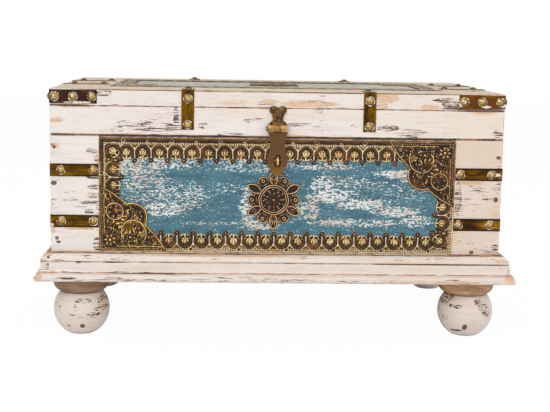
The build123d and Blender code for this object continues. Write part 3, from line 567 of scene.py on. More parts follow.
# places where the white shows most: X, Z, half width and half height in mm, and strength
panelWhite = [
    (-250, 355, 150, 22, 0.75), (-265, 310, 80, 50, 0.62), (-200, 290, 90, 40, 0.7),
    (-225, 262, 60, 22, 0.95), (-60, 352, 130, 22, 0.7), (-105, 305, 60, 16, 0.5),
    (-60, 275, 22, 60, 0.9), (-36, 232, 60, 14, 0.8), (-120, 234, 130, 6, 0.4), (90, 316, 40, 26, 0.9),
    (110, 292, 70, 22, 1.0), (170, 276, 80, 16, 1.0), (240, 262, 70, 16, 0.9), (150, 318, 110, 20, 0.6),
    (235, 338, 70, 12, 1.0), (90, 352, 120, 14, 0.6), (250, 300, 60, 30, 0.45), (160, 238, 150, 12, 0.75),
    (280, 242, 50, 18, 0.8), (60, 262, 40, 30, 0.7), (-290, 350, 50, 30, 0.8), (280, 330, 50, 20, 0.7),
]
# the trimmed field lies between the outer corners of the two plates
field = boxOf("corner_plate_lower_left", "corner_plate_upper_right")
fieldMiddle = (field[0] + field[1]) / 2
fieldHalf = (field[1] - field[0]) / 2


def makeBluePaint(name, flake, dot, whites, blue, base, margin=None, dust=0.0, inner=None):
    # flaked blue paint: white shows where two noises together pass a limit, sooner in the white places
    material, shader, point = newMaterial(name)
    coarse = noise(point * flake, 1.0, 4.0, 0.65, 0.3)
    small = noise(point * dot, 1.0, 2.0, 0.6, 0.2)
    drift = noise(point, 16.0, 3.0, 0.6)
    cover = (drift - 0.5) * 0.8 + (addSpots(point, whites) + base)
    over = small * 0.56 + coarse * 0.44 - (0.642 - cover * 0.16)
    white = step(over, -0.004, 0.016)
    tone = noise(point * flake, 0.3, 3.0, 0.6)
    colour = mix(step(tone, 0.35, 0.65), blueLook["deep"], blue)
    colour = mix(step(over, -0.09, 0.0, 0.0, 0.35), colour, blueLook["pale"])
    colour = mix(step(small, 0.5, 0.7, 0.0, 0.35), colour, blueLook["pale"])
    whitish = mix(step(drift, 0.47, 0.62), blueLook["white"], blueLook["warmWhite"])
    colour = mix(white * 0.92, colour, whitish)
    darkening = noise(point * flake, 2.2, 3.0, 0.7, 0.1)
    colour = mix(step(darkening, 0.64, 0.7, 0.0, 0.5), colour, rgb(70, 62, 52))
    # painted shadow: dark brown behind the hasp
    colour = mix(addSpots(point, [(-2, 356, 14, 24, 0.9)]), colour, rgb(64, 44, 28))  # dark behind the hasp
    colour = mix(dust, colour, mix(step(drift, 0.42, 0.6), rgb(192, 175, 140), rgb(158, 134, 100)))
    places = separated(point)
    if margin:
        # cream beyond the trim, above and below; under the lid a brown band and a dark line, painted shadow
        # of the lid
        middle, half, top = margin
        beyond = step(abs(places[2] - middle), half - 0.001, half)
        colour = mix(beyond, colour, mix(step(coarse, 0.5, 0.64), rgb(232, 216, 196), rgb(176, 128, 84)))
        lidShadowBand = mix(step(coarse, 0.46, 0.6), rgb(96, 64, 40), rgb(206, 168, 130))
        colour = mix(step(places[2], top - 0.006, top - 0.004, 0.0, 0.9), colour, lidShadowBand)
        # painted shadow: a dark line just under the lid
        dark = step(small * 0.001 + places[2], top - 0.0022, top - 0.001)
        colour = mix(dark, colour, rgb(52, 34, 26))
    dress(shader, {}, 0.0006, 0.6, Color=addInside(point, places, alongX, colour, inner),
          Roughness=white * 0.15 + 0.5, Height=plainInside(places, small * 0.5 - white * 0.7, inner))
    return material


def makeBareWood(name, stretch, light, dark):
    material, shader, point = newMaterial(name)
    dress(shader, useGroup(woodGroup, Point=point, Stretch=stretch, Light=light, Dark=dark), 0.0008, 0.6)
    return material


panelMargin = (fieldMiddle[2] * mm, fieldHalf[2] * mm, bodyTop * mm)
setMaterial(nodes["front_panel"], makeBluePaint(
    "blue_panel", blueLook["flake"], blueLook["dot"], panelWhite, blueLook["blue"], 0.12, panelMargin,
))
setMaterial(nodes["lid_panel"], makeBluePaint(
    "blue_lid", blueLook["lidFlake"], blueLook["lidDot"], (), blueLook["lid"], 0.62, dust=0.5,
    inner=boxOf("lid_panel")[0][2] * mm,
))
setMaterial(nodes["bottom_board"], makeBareWood("bare_bottom", alongX, rgb(186, 148, 106), rgb(132, 94, 60)))
setMaterial(nodes["foot_blocks"], makeBareWood("bare_blocks", alongX, rgb(166, 126, 86), rgb(112, 78, 48)))
print("feet and panels painted")


def makeBrass(name, rubbed, film, gold, bright, size=60.0, depth=0.0004, strength=0.5):
    # rubbed is a number or a function of the height; the three colours are as seen on screen
    material, shader, point = newMaterial(name)
    if callable(rubbed):
        rubbed = rubbed(separated(point)[2])
    look = useGroup(brassGroup, Point=point, Rubbed=rubbed, Film=rgb(*film), Gold=rgb(*gold),
                    Bright=rgb(*bright), Size=size)
    dress(shader, look, depth, strength)
    return material


def leafRubbed(height):
    # matt at the top of the leaf, gold towards its tip
    low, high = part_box("hasp_leaf")
    upper = step(height, low[2], (low[2] + high[2]) / 2, 0.46, 0.12)
    return larger(upper, step(height, high[2] - 0.016, high[2] - 0.011, 0.0, 0.66))


def barrelRubbed(height):
    # gold round the barrel
    low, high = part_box("hasp_pin")
    return step(abs(height - (low[2] + high[2]) / 2), 0.006, 0.013, 0.74, 0.32)


def makeStrapBrass(name, axis, lines, stretch, border=0.12, film=None, dull=0.0, smears=(), glow=()):
    # sheet brass strap: another tone along its borders, paint smears, and orange painted highlights on the
    # front
    material, shader, point = newMaterial(name)
    places = separated(point)
    coordinate = places[axis] if axis == 2 else abs(places[axis])
    away = abs(coordinate - lines[0] * mm)
    for line in lines[1:]:
        away = smaller(away, abs(coordinate - line * mm))
    plain = strapLook["rubbed"] - dull
    rubbed = step(noise(point, 90.0) * 0.004 + (away - 0.002), 0.008, 0.0115, plain, plain + border)
    left, right = film or strapLook["film"]
    look = useGroup(
        brassGroup, Point=point, Rubbed=rubbed, Film=mix(step(places[0], -0.3, 0.3), left, right), Size=45.0,
        Gold=strapLook["gold"], Bright=strapLook["bright"], Stretch=stretch,
    )
    # painted highlight: orange on the raised places inside the glow spots
    paintedHighlight = addSpots(point, glow, 1.0, 0.1) * step(look["Height"], 0.45, 0.85, 0.25, 1.0)
    colour = mix(paintedHighlight, look["Color"], strapLook["orange"])
    paint = step(addSpots(point, smears) + (noise(point, 160.0) - 0.5) * 1.6, 0.4, 0.7)
    dress(shader, look, 0.0005, 0.6, Color=mix(paint, colour, strapLook["paint"]),
          Metallic=(look["Metallic"] * 0.4 + 0.6) * (1.0 - paint))
    return material


# orange: the colour of the painted highlights on the body straps
strapLook = dict(
    rubbed=0.32, film=(rgb(66, 40, 2), rgb(52, 28, 4)), cornerFilm=(rgb(58, 34, 30), rgb(104, 58, 18)),
    gold=rgb(132, 94, 8), bright=rgb(204, 162, 56), orange=rgb(214, 146, 44), paint=rgb(236, 224, 206),
    bodyAt=(236.4, 338.4), cornerAt=(483.2,), edgeAt=(180.0,), endAt=(80.0,),  # their middle lines, in mm
)
strapBrass = dict(
    body_straps=makeStrapBrass(
        "strap_brass_body", 2, strapLook["bodyAt"], (0.35, 0.35, 1.8), border=-0.22,
        # glow: the spots of painted highlight
        glow=[(432, 236, 40, 12, 1.0), (448, 336, 10, 12, 0.8), (-450, 236, 6, 12, 0.7)],
        smears=[(438, 338, 14, 5, 0.9), (-447, 228, 6, 6, 0.7)],
    ),
    lid_corner_straps=makeStrapBrass(
        "strap_brass_corner", 2, strapLook["cornerAt"], (0.8, 0.8, 0.8), film=strapLook["cornerFilm"],
        dull=0.2,
        smears=[(412, 474, 14, 4, 0.9), (444, 477, 12, 6, 1.0), (-395, 472, 44, 3, 0.8),
                (362, 478, 10, 8, 0.8), (-352, 478, 5, 10, 0.6)],
    ),
    lid_edge_straps=makeStrapBrass("strap_brass_edge", 0, strapLook["edgeAt"], (1.6, 0.5, 0.5)),
    lid_end_straps=makeStrapBrass("strap_brass_end", 1, strapLook["endAt"], (0.5, 1.6, 0.5)),
)


def makeStudBrass(name, darkAbove):
    # rubbed patches running to near white, a painted highlight, in the middle of the dome; brown towards its
    # rim, painted shade; dull above a level
    material, shader, point = newMaterial(name)
    rubbed = step(separated(point)[2], darkAbove - 0.0008, darkAbove + 0.0004, 0.62, -0.15)
    # painted highlight: the near-white Bright colour on the rubbed patches
    look = useGroup(brassGroup, Point=point, Rubbed=rubbed, Film=rgb(78, 54, 20), Gold=rgb(176, 144, 78),
                    Bright=rgb(255, 252, 236), Size=130.0)
    # painted shade: brown towards the rim, where the dome turns away from the view
    turned = wire("LayerWeight", {"Blend": 0.5}, out="Facing", tree=material.node_tree)
    colour = mix(step(turned, 0.07, 0.36, 0.0, 0.8), look["Color"], rgb(66, 46, 16))
    dress(shader, look, 0.0005, 0.6, Color=colour, Roughness=look["Roughness"] * 0.8)
    return material


studBrass = makeStudBrass("stud_brass", 1.0)
lidStudBrass = makeStudBrass("stud_brass_lid", lidTop * mm + 0.0012)
nailBrass = makeBrass("nail_brass", 0.15, (44, 30, 18), (96, 70, 36), (150, 118, 62), 200.0)
hingeBrass = makeBrass("hinge_brass", 0.3, (96, 72, 40), (150, 120, 66), (206, 176, 110))
haspBrass = dict(
    hasp_pin=makeBrass("pin_bronze", 0.3, (92, 86, 80), (150, 142, 130), (220, 212, 198), 150.0),
    staple=makeBrass("staple_brass", 0.7, (120, 90, 44), (196, 158, 84), (240, 214, 150), 120.0),
    hasp_leaf=makeBrass("hasp_brass", leafRubbed, (104, 72, 38), (134, 98, 44), (224, 184, 112), 90.0),
    hasp_hanger=makeBrass("hanger_bronze", barrelRubbed, (62, 40, 22), (160, 122, 70), (236, 196, 128), 130.0,
                          0.0006, 0.7),
)
for name, node in nodes.items():
    if "strap" in name:
        setMaterial(node, next(look for key, look in strapBrass.items() if name.startswith(key)))
    elif "studs" in name:
        setMaterial(node, lidStudBrass if name == "lid_studs" else studBrass)
    elif "nails" in name:
        setMaterial(node, nailBrass)
    elif name.startswith("hinge"):
        setMaterial(node, hingeBrass)
    elif name in haspBrass:
        setMaterial(node, haspBrass[name])


# cream paint left round the studs: lengths in mm, and the number of points round each band
studLook = dict(head=4.6, inner=7.5, outer=9.1, foot=0.5, ragged=1.1, thick=0.6, round=28, seed=7)


def studSeats(node):
    # tip and outward axis of each stud: the longest way through each separate solid of the node
    worked = bmesh.new()
    worked.from_mesh(nodes[node].data)
    bmesh.ops.remove_doubles(worked, verts=worked.verts, dist=1e-6)
    left = set(worked.verts)
    seats = []
    while left:
        ready = [left.pop()]
        points = []
        while ready:
            vertex = ready.pop()
            points.append(tuple(vertex.co))
            for edge in vertex.link_edges:
                other = edge.other_vert(vertex)
                if other in left:
                    left.remove(other)
                    ready.append(other)
        points = np.array(points) / mm
        low = points.min(axis=0)
        high = points.max(axis=0)
        centre = (low + high) / 2
        axis = int(np.argmax(high - low))
        way = 1.0 if centre[axis] > 0 else -1.0
        centre[axis] = (high if way > 0 else low)[axis] - way * studLook["head"]
        seats.append((tuple(centre), axis, way))
    worked.free()
    return sorted(seats)


def makePaintRings(name, node, body):
    # a closed band of four lines round each stud, whose outer radius wavers as three sines of the angle
    look = studLook
    dice = np.random.default_rng(look["seed"])
    count = look["round"]
    angle = np.arange(count) * 2 * pi / count
    inner = np.full(count, look["inner"])
    points = []
    faces = []
    for centre, axis, way in studSeats(node):
        phases = dice.uniform(0, 2 * pi, 3)
        size = dice.uniform(0.2, 1.0)
        waver = sum(np.sin(angle * turns + phase) for turns, phase in zip((2, 3, 5), phases)) / 3
        outer = look["outer"] + look["ragged"] * (waver + size - 0.5)
        reach = np.stack([inner, inner, outer - look["foot"], outer], axis=1)
        ring = np.zeros((count, 4, 3))
        ring[:, :, (axis + 1) % 3] = reach * np.cos(angle)[:, None]
        ring[:, :, (axis + 2) % 3] = reach * np.sin(angle)[:, None]
        ring[:, :, axis] = np.array([0.0, 1.0, 0.7, 0.0]) * look["thick"] * way
        number = (len(points) * count * 4 + np.arange(count * 4)).reshape(count, 4)
        on = np.roll(number, -1, axis=0)
        up = np.roll(number, -1, axis=1)
        faces.append(np.stack([number, on, np.roll(on, -1, axis=1), up], axis=-1).reshape(-1, 4))
        points.append(ring.reshape(-1, 3) + centre)
    mesh = bpy.data.meshes.new(name)
    mesh.from_pydata(np.concatenate(points) * mm, [], np.concatenate(faces).tolist())
    worked = bmesh.new()
    worked.from_mesh(mesh)
    bmesh.ops.recalc_face_normals(worked, faces=worked.faces)
    worked.to_mesh(mesh)
    worked.free()
    piece = newPiece(name, mesh)
    setMaterial(piece, leftPaint)
    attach(piece, body)


def makeLeftPaint():
    material, shader, point = newMaterial("paint_round_studs")
    spots = noise(point, 260.0, 3.0, 0.6)
    colour = mix(step(spots, 0.46, 0.56), rgb(242, 232, 214), rgb(120, 92, 48))
    dress(shader, {}, 0.0003, 0.6, Color=colour, Roughness=spots * 0.2 + 0.5, Height=spots)
    return material


leftPaint = makeLeftPaint()
makePaintRings("paint_rings_body", "body_studs", "carcass")
makePaintRings("paint_rings_lid", "lid_studs", "lid")
print("brass done")


def makeGiltGroup():
    # dark ground, brass in the middle, pale rubbed crests, and whitewash where the sheet was painted over
    black = (0, 0, 0, 1)
    tree, given, result = newGroup("gilding", metalResults, Point=origin, Tone=0.5, Wash=0.0, Shift=0.0,
                                   Ground=black, Middle=black, Crest=black, Chalk=(1, 1, 1, 1))
    fine = noise(given["Point"], 330.0, 3.0, 0.65)
    uneven = (noise(given["Point"], 16.0, 3.0, 0.6, 0.5) - 0.5) * 0.45 + (fine - 0.5) * 0.64
    tone = given["Tone"] + given["Shift"] + uneven
    colour = mix(step(tone, 0.04, 0.42), given["Ground"], given["Middle"])
    colour = mix(step(tone, 0.42, 0.8), colour, given["Crest"])
    rust = step(noise(given["Point"] + (5, 3, 1), 38.0, 3.0), 0.56, 0.7, 0.0, 0.35)
    colour = mix(rust, colour, rgb(150, 88, 38))
    chalk = step(given["Wash"] + uneven, 0.42, 0.66)
    feed(result, {"Color": mix(chalk * 0.88, colour, given["Chalk"]), "Height": chalk * 0.5 + fine,
                  "Metallic": (1.0 - chalk) * step(tone, 0.0, 0.5, 0.35, 0.85),
                  "Roughness": chalk * 0.35 + fine * 0.2 + 0.28})
    return tree


giltGroup = makeGiltGroup()
# for each kind of sheet: ground, middle, crest and chalk as seen on screen, and a shift to dark
giltLooks = dict(
    strips=((24, 13, 4), (112, 78, 28), (250, 218, 158), (238, 214, 184), -0.17),
    leftPlate=((28, 15, 4), (104, 72, 18), (252, 206, 126), (220, 184, 148), -0.26),
    rightPlate=((18, 10, 4), (84, 52, 16), (250, 202, 132), (214, 176, 140), -0.295),
    rosette=((26, 14, 6), (86, 52, 20), (244, 196, 138), (232, 198, 162), -0.33),
    lidStrips=((48, 34, 22), (104, 82, 52), (196, 176, 140), (186, 168, 142), -0.2),
    lidPlates=((44, 30, 18), (104, 80, 48), (196, 176, 138), (186, 168, 142), -0.2),
    lidFlower=((40, 26, 14), (78, 56, 32), (150, 124, 88), (150, 130, 104), -0.4),
)


def makeGilt(name, ground, middle, crest, chalk, shift):
    # the sheets carry their tone and whitewash as attributes
    material, shader, point = newMaterial(name)
    tone, wash = (wire("Attribute", {}, out="Fac", tree=material.node_tree, attribute_name=label)
                  for label in ("tone", "wash"))
    look = useGroup(giltGroup, Point=point, Tone=tone, Wash=wash, Shift=shift, Ground=rgb(*ground),
                    Middle=rgb(*middle), Crest=rgb(*crest), Chalk=rgb(*chalk))
    dress(shader, look, 0.0002, 0.5)
    return material


giltMaterials = {key: makeGilt("gilt_" + key, *look) for key, look in giltLooks.items()}


# embossed sheet brass: outlines and strokes on a grid, in millimetres
def boxDistance(u, v, x0, y0, x1, y1):
    # outside: to the nearest side or corner; inside: minus the distance to the nearest side
    across = np.abs(u - (x0 + x1) / 2) - (x1 - x0) / 2
    along = np.abs(v - (y0 + y1) / 2) - (y1 - y0) / 2
    return np.hypot(np.maximum(across, 0), np.maximum(along, 0)) + np.minimum(np.maximum(across, along), 0)


def lineDistance(u, v, x0, y0, x1, y1):
    # to the nearest point of a straight piece
    dx = x1 - x0
    dy = y1 - y0
    share = np.clip(((u - x0) * dx + (v - y0) * dy) / (dx * dx + dy * dy + 1e-12), 0, 1)
    return np.hypot(u - x0 - share * dx, v - y0 - share * dy)


def polygonDistance(u, v, corners):
    # to the nearest side, and negative where a ray along u crosses the sides an odd number of times
    nearest = np.full(u.shape, 1e9)
    inside = np.zeros(u.shape, bool)
    for (x0, y0), (x1, y1) in zip(corners, np.roll(corners, -1, axis=0)):
        nearest = np.minimum(nearest, lineDistance(u, v, x0, y0, x1, y1))
        if y1 != y0:
            inside ^= ((y0 > v) != (y1 > v)) & (u < x0 + (v - y0) * (x1 - x0) / (y1 - y0))
    return np.where(inside, -nearest, nearest)


def arcPoints(first, middle, last, count=14):
    # points on the circle through three points, from the first up to, but without, the last
    a, b, c = (complex(*point) for point in (first, middle, last))
    w = (c - a) / (b - a)
    centre = (b - a) * (w - abs(w) ** 2) / (2j * w.imag) + a
    turn = np.angle((c - centre) / (a - centre))
    if np.sign(turn) != np.sign(np.angle((b - centre) / (a - centre))):
        turn -= np.sign(turn) * 2 * pi
    points = centre + (a - centre) * np.exp(1j * turn * np.arange(count) / count)
    return np.stack([points.real, points.imag], axis=1)


def blurred(values, times):
    # each pass takes the mean of every cell and its four neighbours
    for _ in range(times):
        grown = np.pad(values, 1, mode="edge")
        across = grown[:-2, 1:-1] + grown[2:, 1:-1]
        values = (values + across + grown[1:-1, :-2] + grown[1:-1, 2:]) / 5
    return values


class Sheet:
    # height, gilding (0 dark, 1 bright) and whitewash over a grid; a stroke shows where it is the highest
    def __init__(self, u, v, ground):
        self.u = u
        self.v = v
        self.ground = ground
        self.height = np.full(u.shape, ground)
        self.tone = np.full(u.shape, 0.14)
        self.wash = np.zeros(u.shape)

    def seenFrom(self, u, v):
        # the same sheet in other coordinates
        other = object.__new__(Sheet)
        other.__dict__.update(self.__dict__)
        other.u = u
        other.v = v
        return other

    def lift(self, shape, height, tone, wash=0.0):
        # shape runs from 0 at the stroke's foot to 1 on its crest
        raised = self.ground + shape * height
        shown = (shape > 0) & (raised > self.height - 0.02)
        self.height[shown] = raised[shown]
        self.tone[shown] = (tone * (0.3 + 0.7 * shape ** 1.5))[shown]
        self.wash[shown] = wash

    def tint(self, shape, tone, wash):
        # colour without height, by the share of shape
        self.tone += (tone - self.tone) * shape
        self.wash += (wash - self.wash) * shape

    def bead(self, distance, half, height, tone, wash=0.0):
        # round in section: the root of 1 minus the square of distance over half
        self.lift(np.sqrt(np.clip(1 - (distance / half) ** 2, 0, 1)), height, tone, wash)

    def ring(self, x, y, radius, half, height, tone, start=0.0, sweep=360.0, wash=0.0):
        # a whole ring, or an arc that thins out at its ends; degrees from u towards v
        distance = np.abs(np.hypot(self.u - x, self.v - y) - radius)
        if sweep < 360:
            angle = (np.degrees(np.arctan2(self.v - y, self.u - x)) - start) % 360
            ends = np.clip(np.minimum(angle, sweep - angle) / 14, 0, 1)
            distance = np.where(angle < sweep, distance, 1e9)
            half = half * (0.3 + 0.7 * ends)
        self.bead(distance, half, height, tone, wash)

    def spiral(self, x, y, outer, inner, half, height, tone, start, sweep):
        # radius falls evenly from outer to inner over the sweep, which is negative for clockwise
        angle = np.degrees(np.arctan2(self.v - y, self.u - x)) - start
        turned = (angle * np.sign(sweep)) % 360
        reach = np.hypot(self.u - x, self.v - y)
        distance = np.full(reach.shape, 1e9)
        while turned.min() < abs(sweep):
            share = turned / abs(sweep)
            radius = outer + (inner - outer) * share
            distance = np.minimum(distance, np.where(share <= 1, np.abs(reach - radius), 1e9))
            turned = turned + 360
        self.bead(distance, half, height, tone)

    def leaf(self, x, y, angle, length, half, height, tone, vein=0.35, curl=0.0):
        # an almond from its base, half as wide as half times the sine along it, bent sideways by curl
        turn = np.radians(angle)
        along = ((self.u - x) * cos(turn) + (self.v - y) * sin(turn)) / length
        across = (self.v - y) * cos(turn) - (self.u - x) * sin(turn)
        inside = (along > 0) & (along < 1)
        along = np.clip(along, 0.001, 0.999)
        across = across - curl * along ** 2
        width = half * np.sin(pi * along ** 0.8) ** 0.75 + 1e-6
        shape = np.sqrt(np.clip(1 - (across / width) ** 2, 0, 1)) * (0.55 + 0.45 * along)
        shape = shape - vein * np.exp(-(across / 0.55) ** 2) * (1 - along) * (shape > 0)
        self.lift(np.where(inside, np.clip(shape, 0, 1), 0), height, tone)

    def line(self, points, half, height, tone, wash=0.0):
        pieces = [lineDistance(self.u, self.v, *first, *last) for first, last in zip(points, points[1:])]
        self.bead(np.min(pieces, axis=0), half, height, tone, wash)

    def dot(self, x, y, radius, height, tone, wash=0.0):
        self.bead(np.hypot(self.u - x, self.v - y), radius, height, tone, wash)

    def pit(self, x, y, radius, depth):
        shape = np.clip(1 - (np.hypot(self.u - x, self.v - y) / radius) ** 2, 0, 1)
        self.height -= depth * shape
        self.tint(np.clip(shape * 2, 0, 1), 0.0, 0.0)


sheetLook = dict(rim=1.1, rimDrop=0.35, blur=6, contrast=0.8, nailSeat=4.6, nailPale=4.4, nailDark=3.1,
                 low=0.3, high=3.8)


def moveToOutline(u, v, loose, outline):
    # Newton's steps along the outline's slope, for the points that stand just beyond it
    nudge = 0.01
    rimU = u[loose]
    rimV = v[loose]
    for _ in range(3):
        away = outline(rimU, rimV)
        slopeU = (outline(rimU + nudge, rimV) - away) / nudge
        slopeV = (outline(rimU, rimV + nudge) - away) / nudge
        rimU = rimU - away * slopeU
        rimV = rimV - away * slopeV
    u[loose] = rimU
    v[loose] = rimV


def finishSheet(sheet, distance, nails):
    # the rim bends down, high places are rubbed and low ones dark, and each nail sits on a flat seat
    look = sheetLook
    rim = np.clip((distance + look["rim"]) / look["rim"], 0, 1)
    sheet.height -= look["rimDrop"] * rim
    around = blurred(sheet.height, look["blur"])
    sheet.tone += np.clip((sheet.height - around) * look["contrast"], -0.35, 0.35) - 0.12 * rim
    for x, y in nails:
        reach = np.hypot(sheet.u - x, sheet.v - y)
        sheet.height += (sheet.ground - sheet.height) * np.clip((look["nailSeat"] - reach) / 1.2, 0, 1)
        sheet.tint(np.clip((look["nailPale"] - reach) / 0.8, 0, 1), 0.8, 0.7)
        sheet.tint(np.clip((look["nailDark"] - reach) / 0.5, 0, 1), 0.0, 0.0)
    return np.clip(sheet.height, look["low"], look["high"])


def reliefMesh(name, size, gridStep, outline, draw, place, ground=1.0, nails=()):
    # a grid of u and v between the two corners in size, kept where the outline is negative, its rim points
    # moved on to the outline, the sheet's height on top, a wall down to the board and a flat underside
    start, uWay, vWay, outWay = (np.array(part, float) for part in place)
    low, high = size
    lines = [np.arange(a - gridStep, b + 2 * gridStep, gridStep) for a, b in zip(low, high)]
    u, v = np.meshgrid(*lines, indexing="ij")
    distance = outline(u, v)
    inside = distance < 0
    cells = inside[:-1, :-1] | inside[1:, :-1] | inside[1:, 1:] | inside[:-1, 1:]
    kept = np.zeros(u.shape, bool)
    for shiftU, shiftV in ((0, 0), (1, 0), (1, 1), (0, 1)):
        kept[shiftU:u.shape[0] - 1 + shiftU, shiftV:u.shape[1] - 1 + shiftV] |= cells
    loose = kept & ~inside
    moveToOutline(u, v, loose, outline)
    distance[loose] = 0
    sheet = Sheet(u, v, ground)
    draw(sheet)
    height = finishSheet(sheet, distance, nails)
    number = np.full(u.shape, -1)
    number[kept] = np.arange(kept.sum())
    corners = [number[:-1, :-1], number[1:, :-1], number[1:, 1:], number[:-1, 1:]]
    top = np.stack([corner[cells] for corner in corners], axis=1)
    # rim: sides of kept cells with no kept cell beyond them, in the top's own turning sense
    grown = np.pad(cells, 1)
    beyond = (grown[1:-1, :-2], grown[2:, 1:-1], grown[1:-1, 2:], grown[:-2, 1:-1])
    sides = []
    for index, neighbour in enumerate(beyond):
        edge = cells & ~neighbour
        sides.append(np.stack([corners[index][edge], corners[(index + 1) % 4][edge]], axis=1))
    sides = np.concatenate(sides)
    rimPoints, places = np.unique(sides, return_inverse=True)
    places = places.reshape(-1, 2) + kept.sum()
    walls = np.stack([sides[:, 1], sides[:, 0], places[:, 0], places[:, 1]], axis=1)
    flat = np.stack([u[kept], v[kept], height[kept]], axis=1)
    flat = np.concatenate([flat, flat[rimPoints] * (1, 1, 0)])
    points = (start + flat[:, :1] * uWay + flat[:, 1:2] * vWay + flat[:, 2:] * outWay) * mm
    faces = np.concatenate([top, walls])
    if np.dot(np.cross(uWay, vWay), outWay) < 0:
        faces = faces[:, ::-1]
    mesh = bpy.data.meshes.new(name)
    mesh.from_pydata(points, [], faces.tolist())
    for label, values in (("tone", sheet.tone), ("wash", sheet.wash)):
        full = np.zeros(len(points), np.float32)
        full[:kept.sum()] = np.clip(values[kept], 0, 1.2)
        mesh.attributes.new(label, "FLOAT", "POINT").data.foreach_set("value", full)
    mesh.polygons.foreach_set("use_smooth", np.arange(len(faces)) < len(top))
    closeUnderside(mesh)
    return newPiece(name, mesh)


def closeUnderside(mesh):
    worked = bmesh.new()
    worked.from_mesh(mesh)
    bmesh.ops.remove_doubles(worked, verts=worked.verts, dist=1e-6)
    bmesh.ops.dissolve_degenerate(worked, dist=1e-7, edges=worked.edges)
    openEdges = [edge for edge in worked.edges if edge.is_boundary]
    for face in bmesh.ops.holes_fill(worked, edges=openEdges, sides=0)["faces"]:
        face.smooth = False
    worked.to_mesh(mesh)
    worked.free()


# strips with scallops, corner plates and rosettes, in mm
plateLow, plateHigh = boxOf("corner_plate_lower_left")
trimLook = dict(
    stripBody=32.0, archRadius=15.0, archDepth=19.5, archPitch=32.0, eyeletRadius=5.2, eyeletDepth=36.0,
    cornerSquare=47.0, cornerArch=26.0, firstArch=54.0, plateGap=4.0, tuck=32.0, nailPitch=96.0, nailAt=5.0,
    toothPitch=3.4, wash=0.5, rosetteStep=0.6, plate=(plateHigh - plateLow)[[0, 2]],
)


def plateOutline():
    # square corner at (0, 0), its long side made of three arcs
    a, b = trimLook["plate"]
    first = (0.69 * a, 0.41 * b)
    second = (0.41 * a, 0.73 * b)
    return np.concatenate([
        [(0, 0)], arcPoints((a, 0), (0.84 * a, 0.25 * b), first),
        arcPoints(first, (0.66 * a, 0.67 * b), second),
        arcPoints(second, (0.24 * a, 0.87 * b), (0, b)), [(0, b)],
    ])


plateCorners = plateOutline()


def drawArch(arch):
    # in the arch's own coordinates, v towards the field: a dark crown with a bright line in it, a pale
    # fluted shell, two hollows and a stem on the open side, and pale arms that meet between the arches
    reach = np.hypot(arch.u, arch.v)
    arch.tint(np.clip((15.0 - reach) / 0.6, 0, 1), 0.10, 0.0)
    for start in (188, 290):
        arch.ring(0, 0, 15.8, 0.9, 1.0, 0.95, start=start, sweep=62, wash=0.5)
    arch.ring(0, 0, 12.0, 2.6, 1.5, 0.24, start=138, sweep=264)
    arch.ring(0, 0, 12.2, 0.8, 1.5, 0.55, start=200, sweep=140)
    arch.ring(0, 0, 13.9, 0.8, 1.1, 0.8, start=50, sweep=80)
    reach = np.hypot(arch.u, (arch.v - 0.6) * 1.05)
    flute = 0.88 + 0.12 * np.cos(np.arctan2(arch.u, 12 - arch.v) * 14)
    arch.lift(np.clip(1 - (reach / 8.0) ** 2, 0, 1) ** 0.4 * flute, 1.7, 0.95, 0.42)
    arch.tint(np.clip(1 - np.hypot(arch.u, (arch.v + 3.4) * 1.6) / 2.6, 0, 1), 0.35, 0.0)
    for way in (-1, 1):
        arch.pit(way * 4.6, 9.2, 2.8, 0.7)
    arch.line([(0, 8.0), (0, 12.8)], 1.5, 1.3, 0.9, 0.4)
    for way in (-1, 1):
        arch.ring(way * 5.0, 8.2, 3.7, 0.6, 0.9, 0.75, start=170 + way * 110, sweep=200)


def drawEyelet(gap):
    # between two arches, in its own coordinates: origin in the eyelet, v towards the field
    gap.line([(0, -25.0), (0, -6.0)], 1.0, 0.9, 0.95, 0.75)
    gap.ring(0, 0, 3.1, 1.7, 1.2, 0.04)
    gap.ring(0, 0, 5.0, 0.6, 0.8, 0.8, wash=0.4)
    gap.dot(0, 0, 1.5, 1.0, 1.0, 0.5)
    gap.dot(0, -8.4, 1.6, 1.1, 0.9, 0.4)


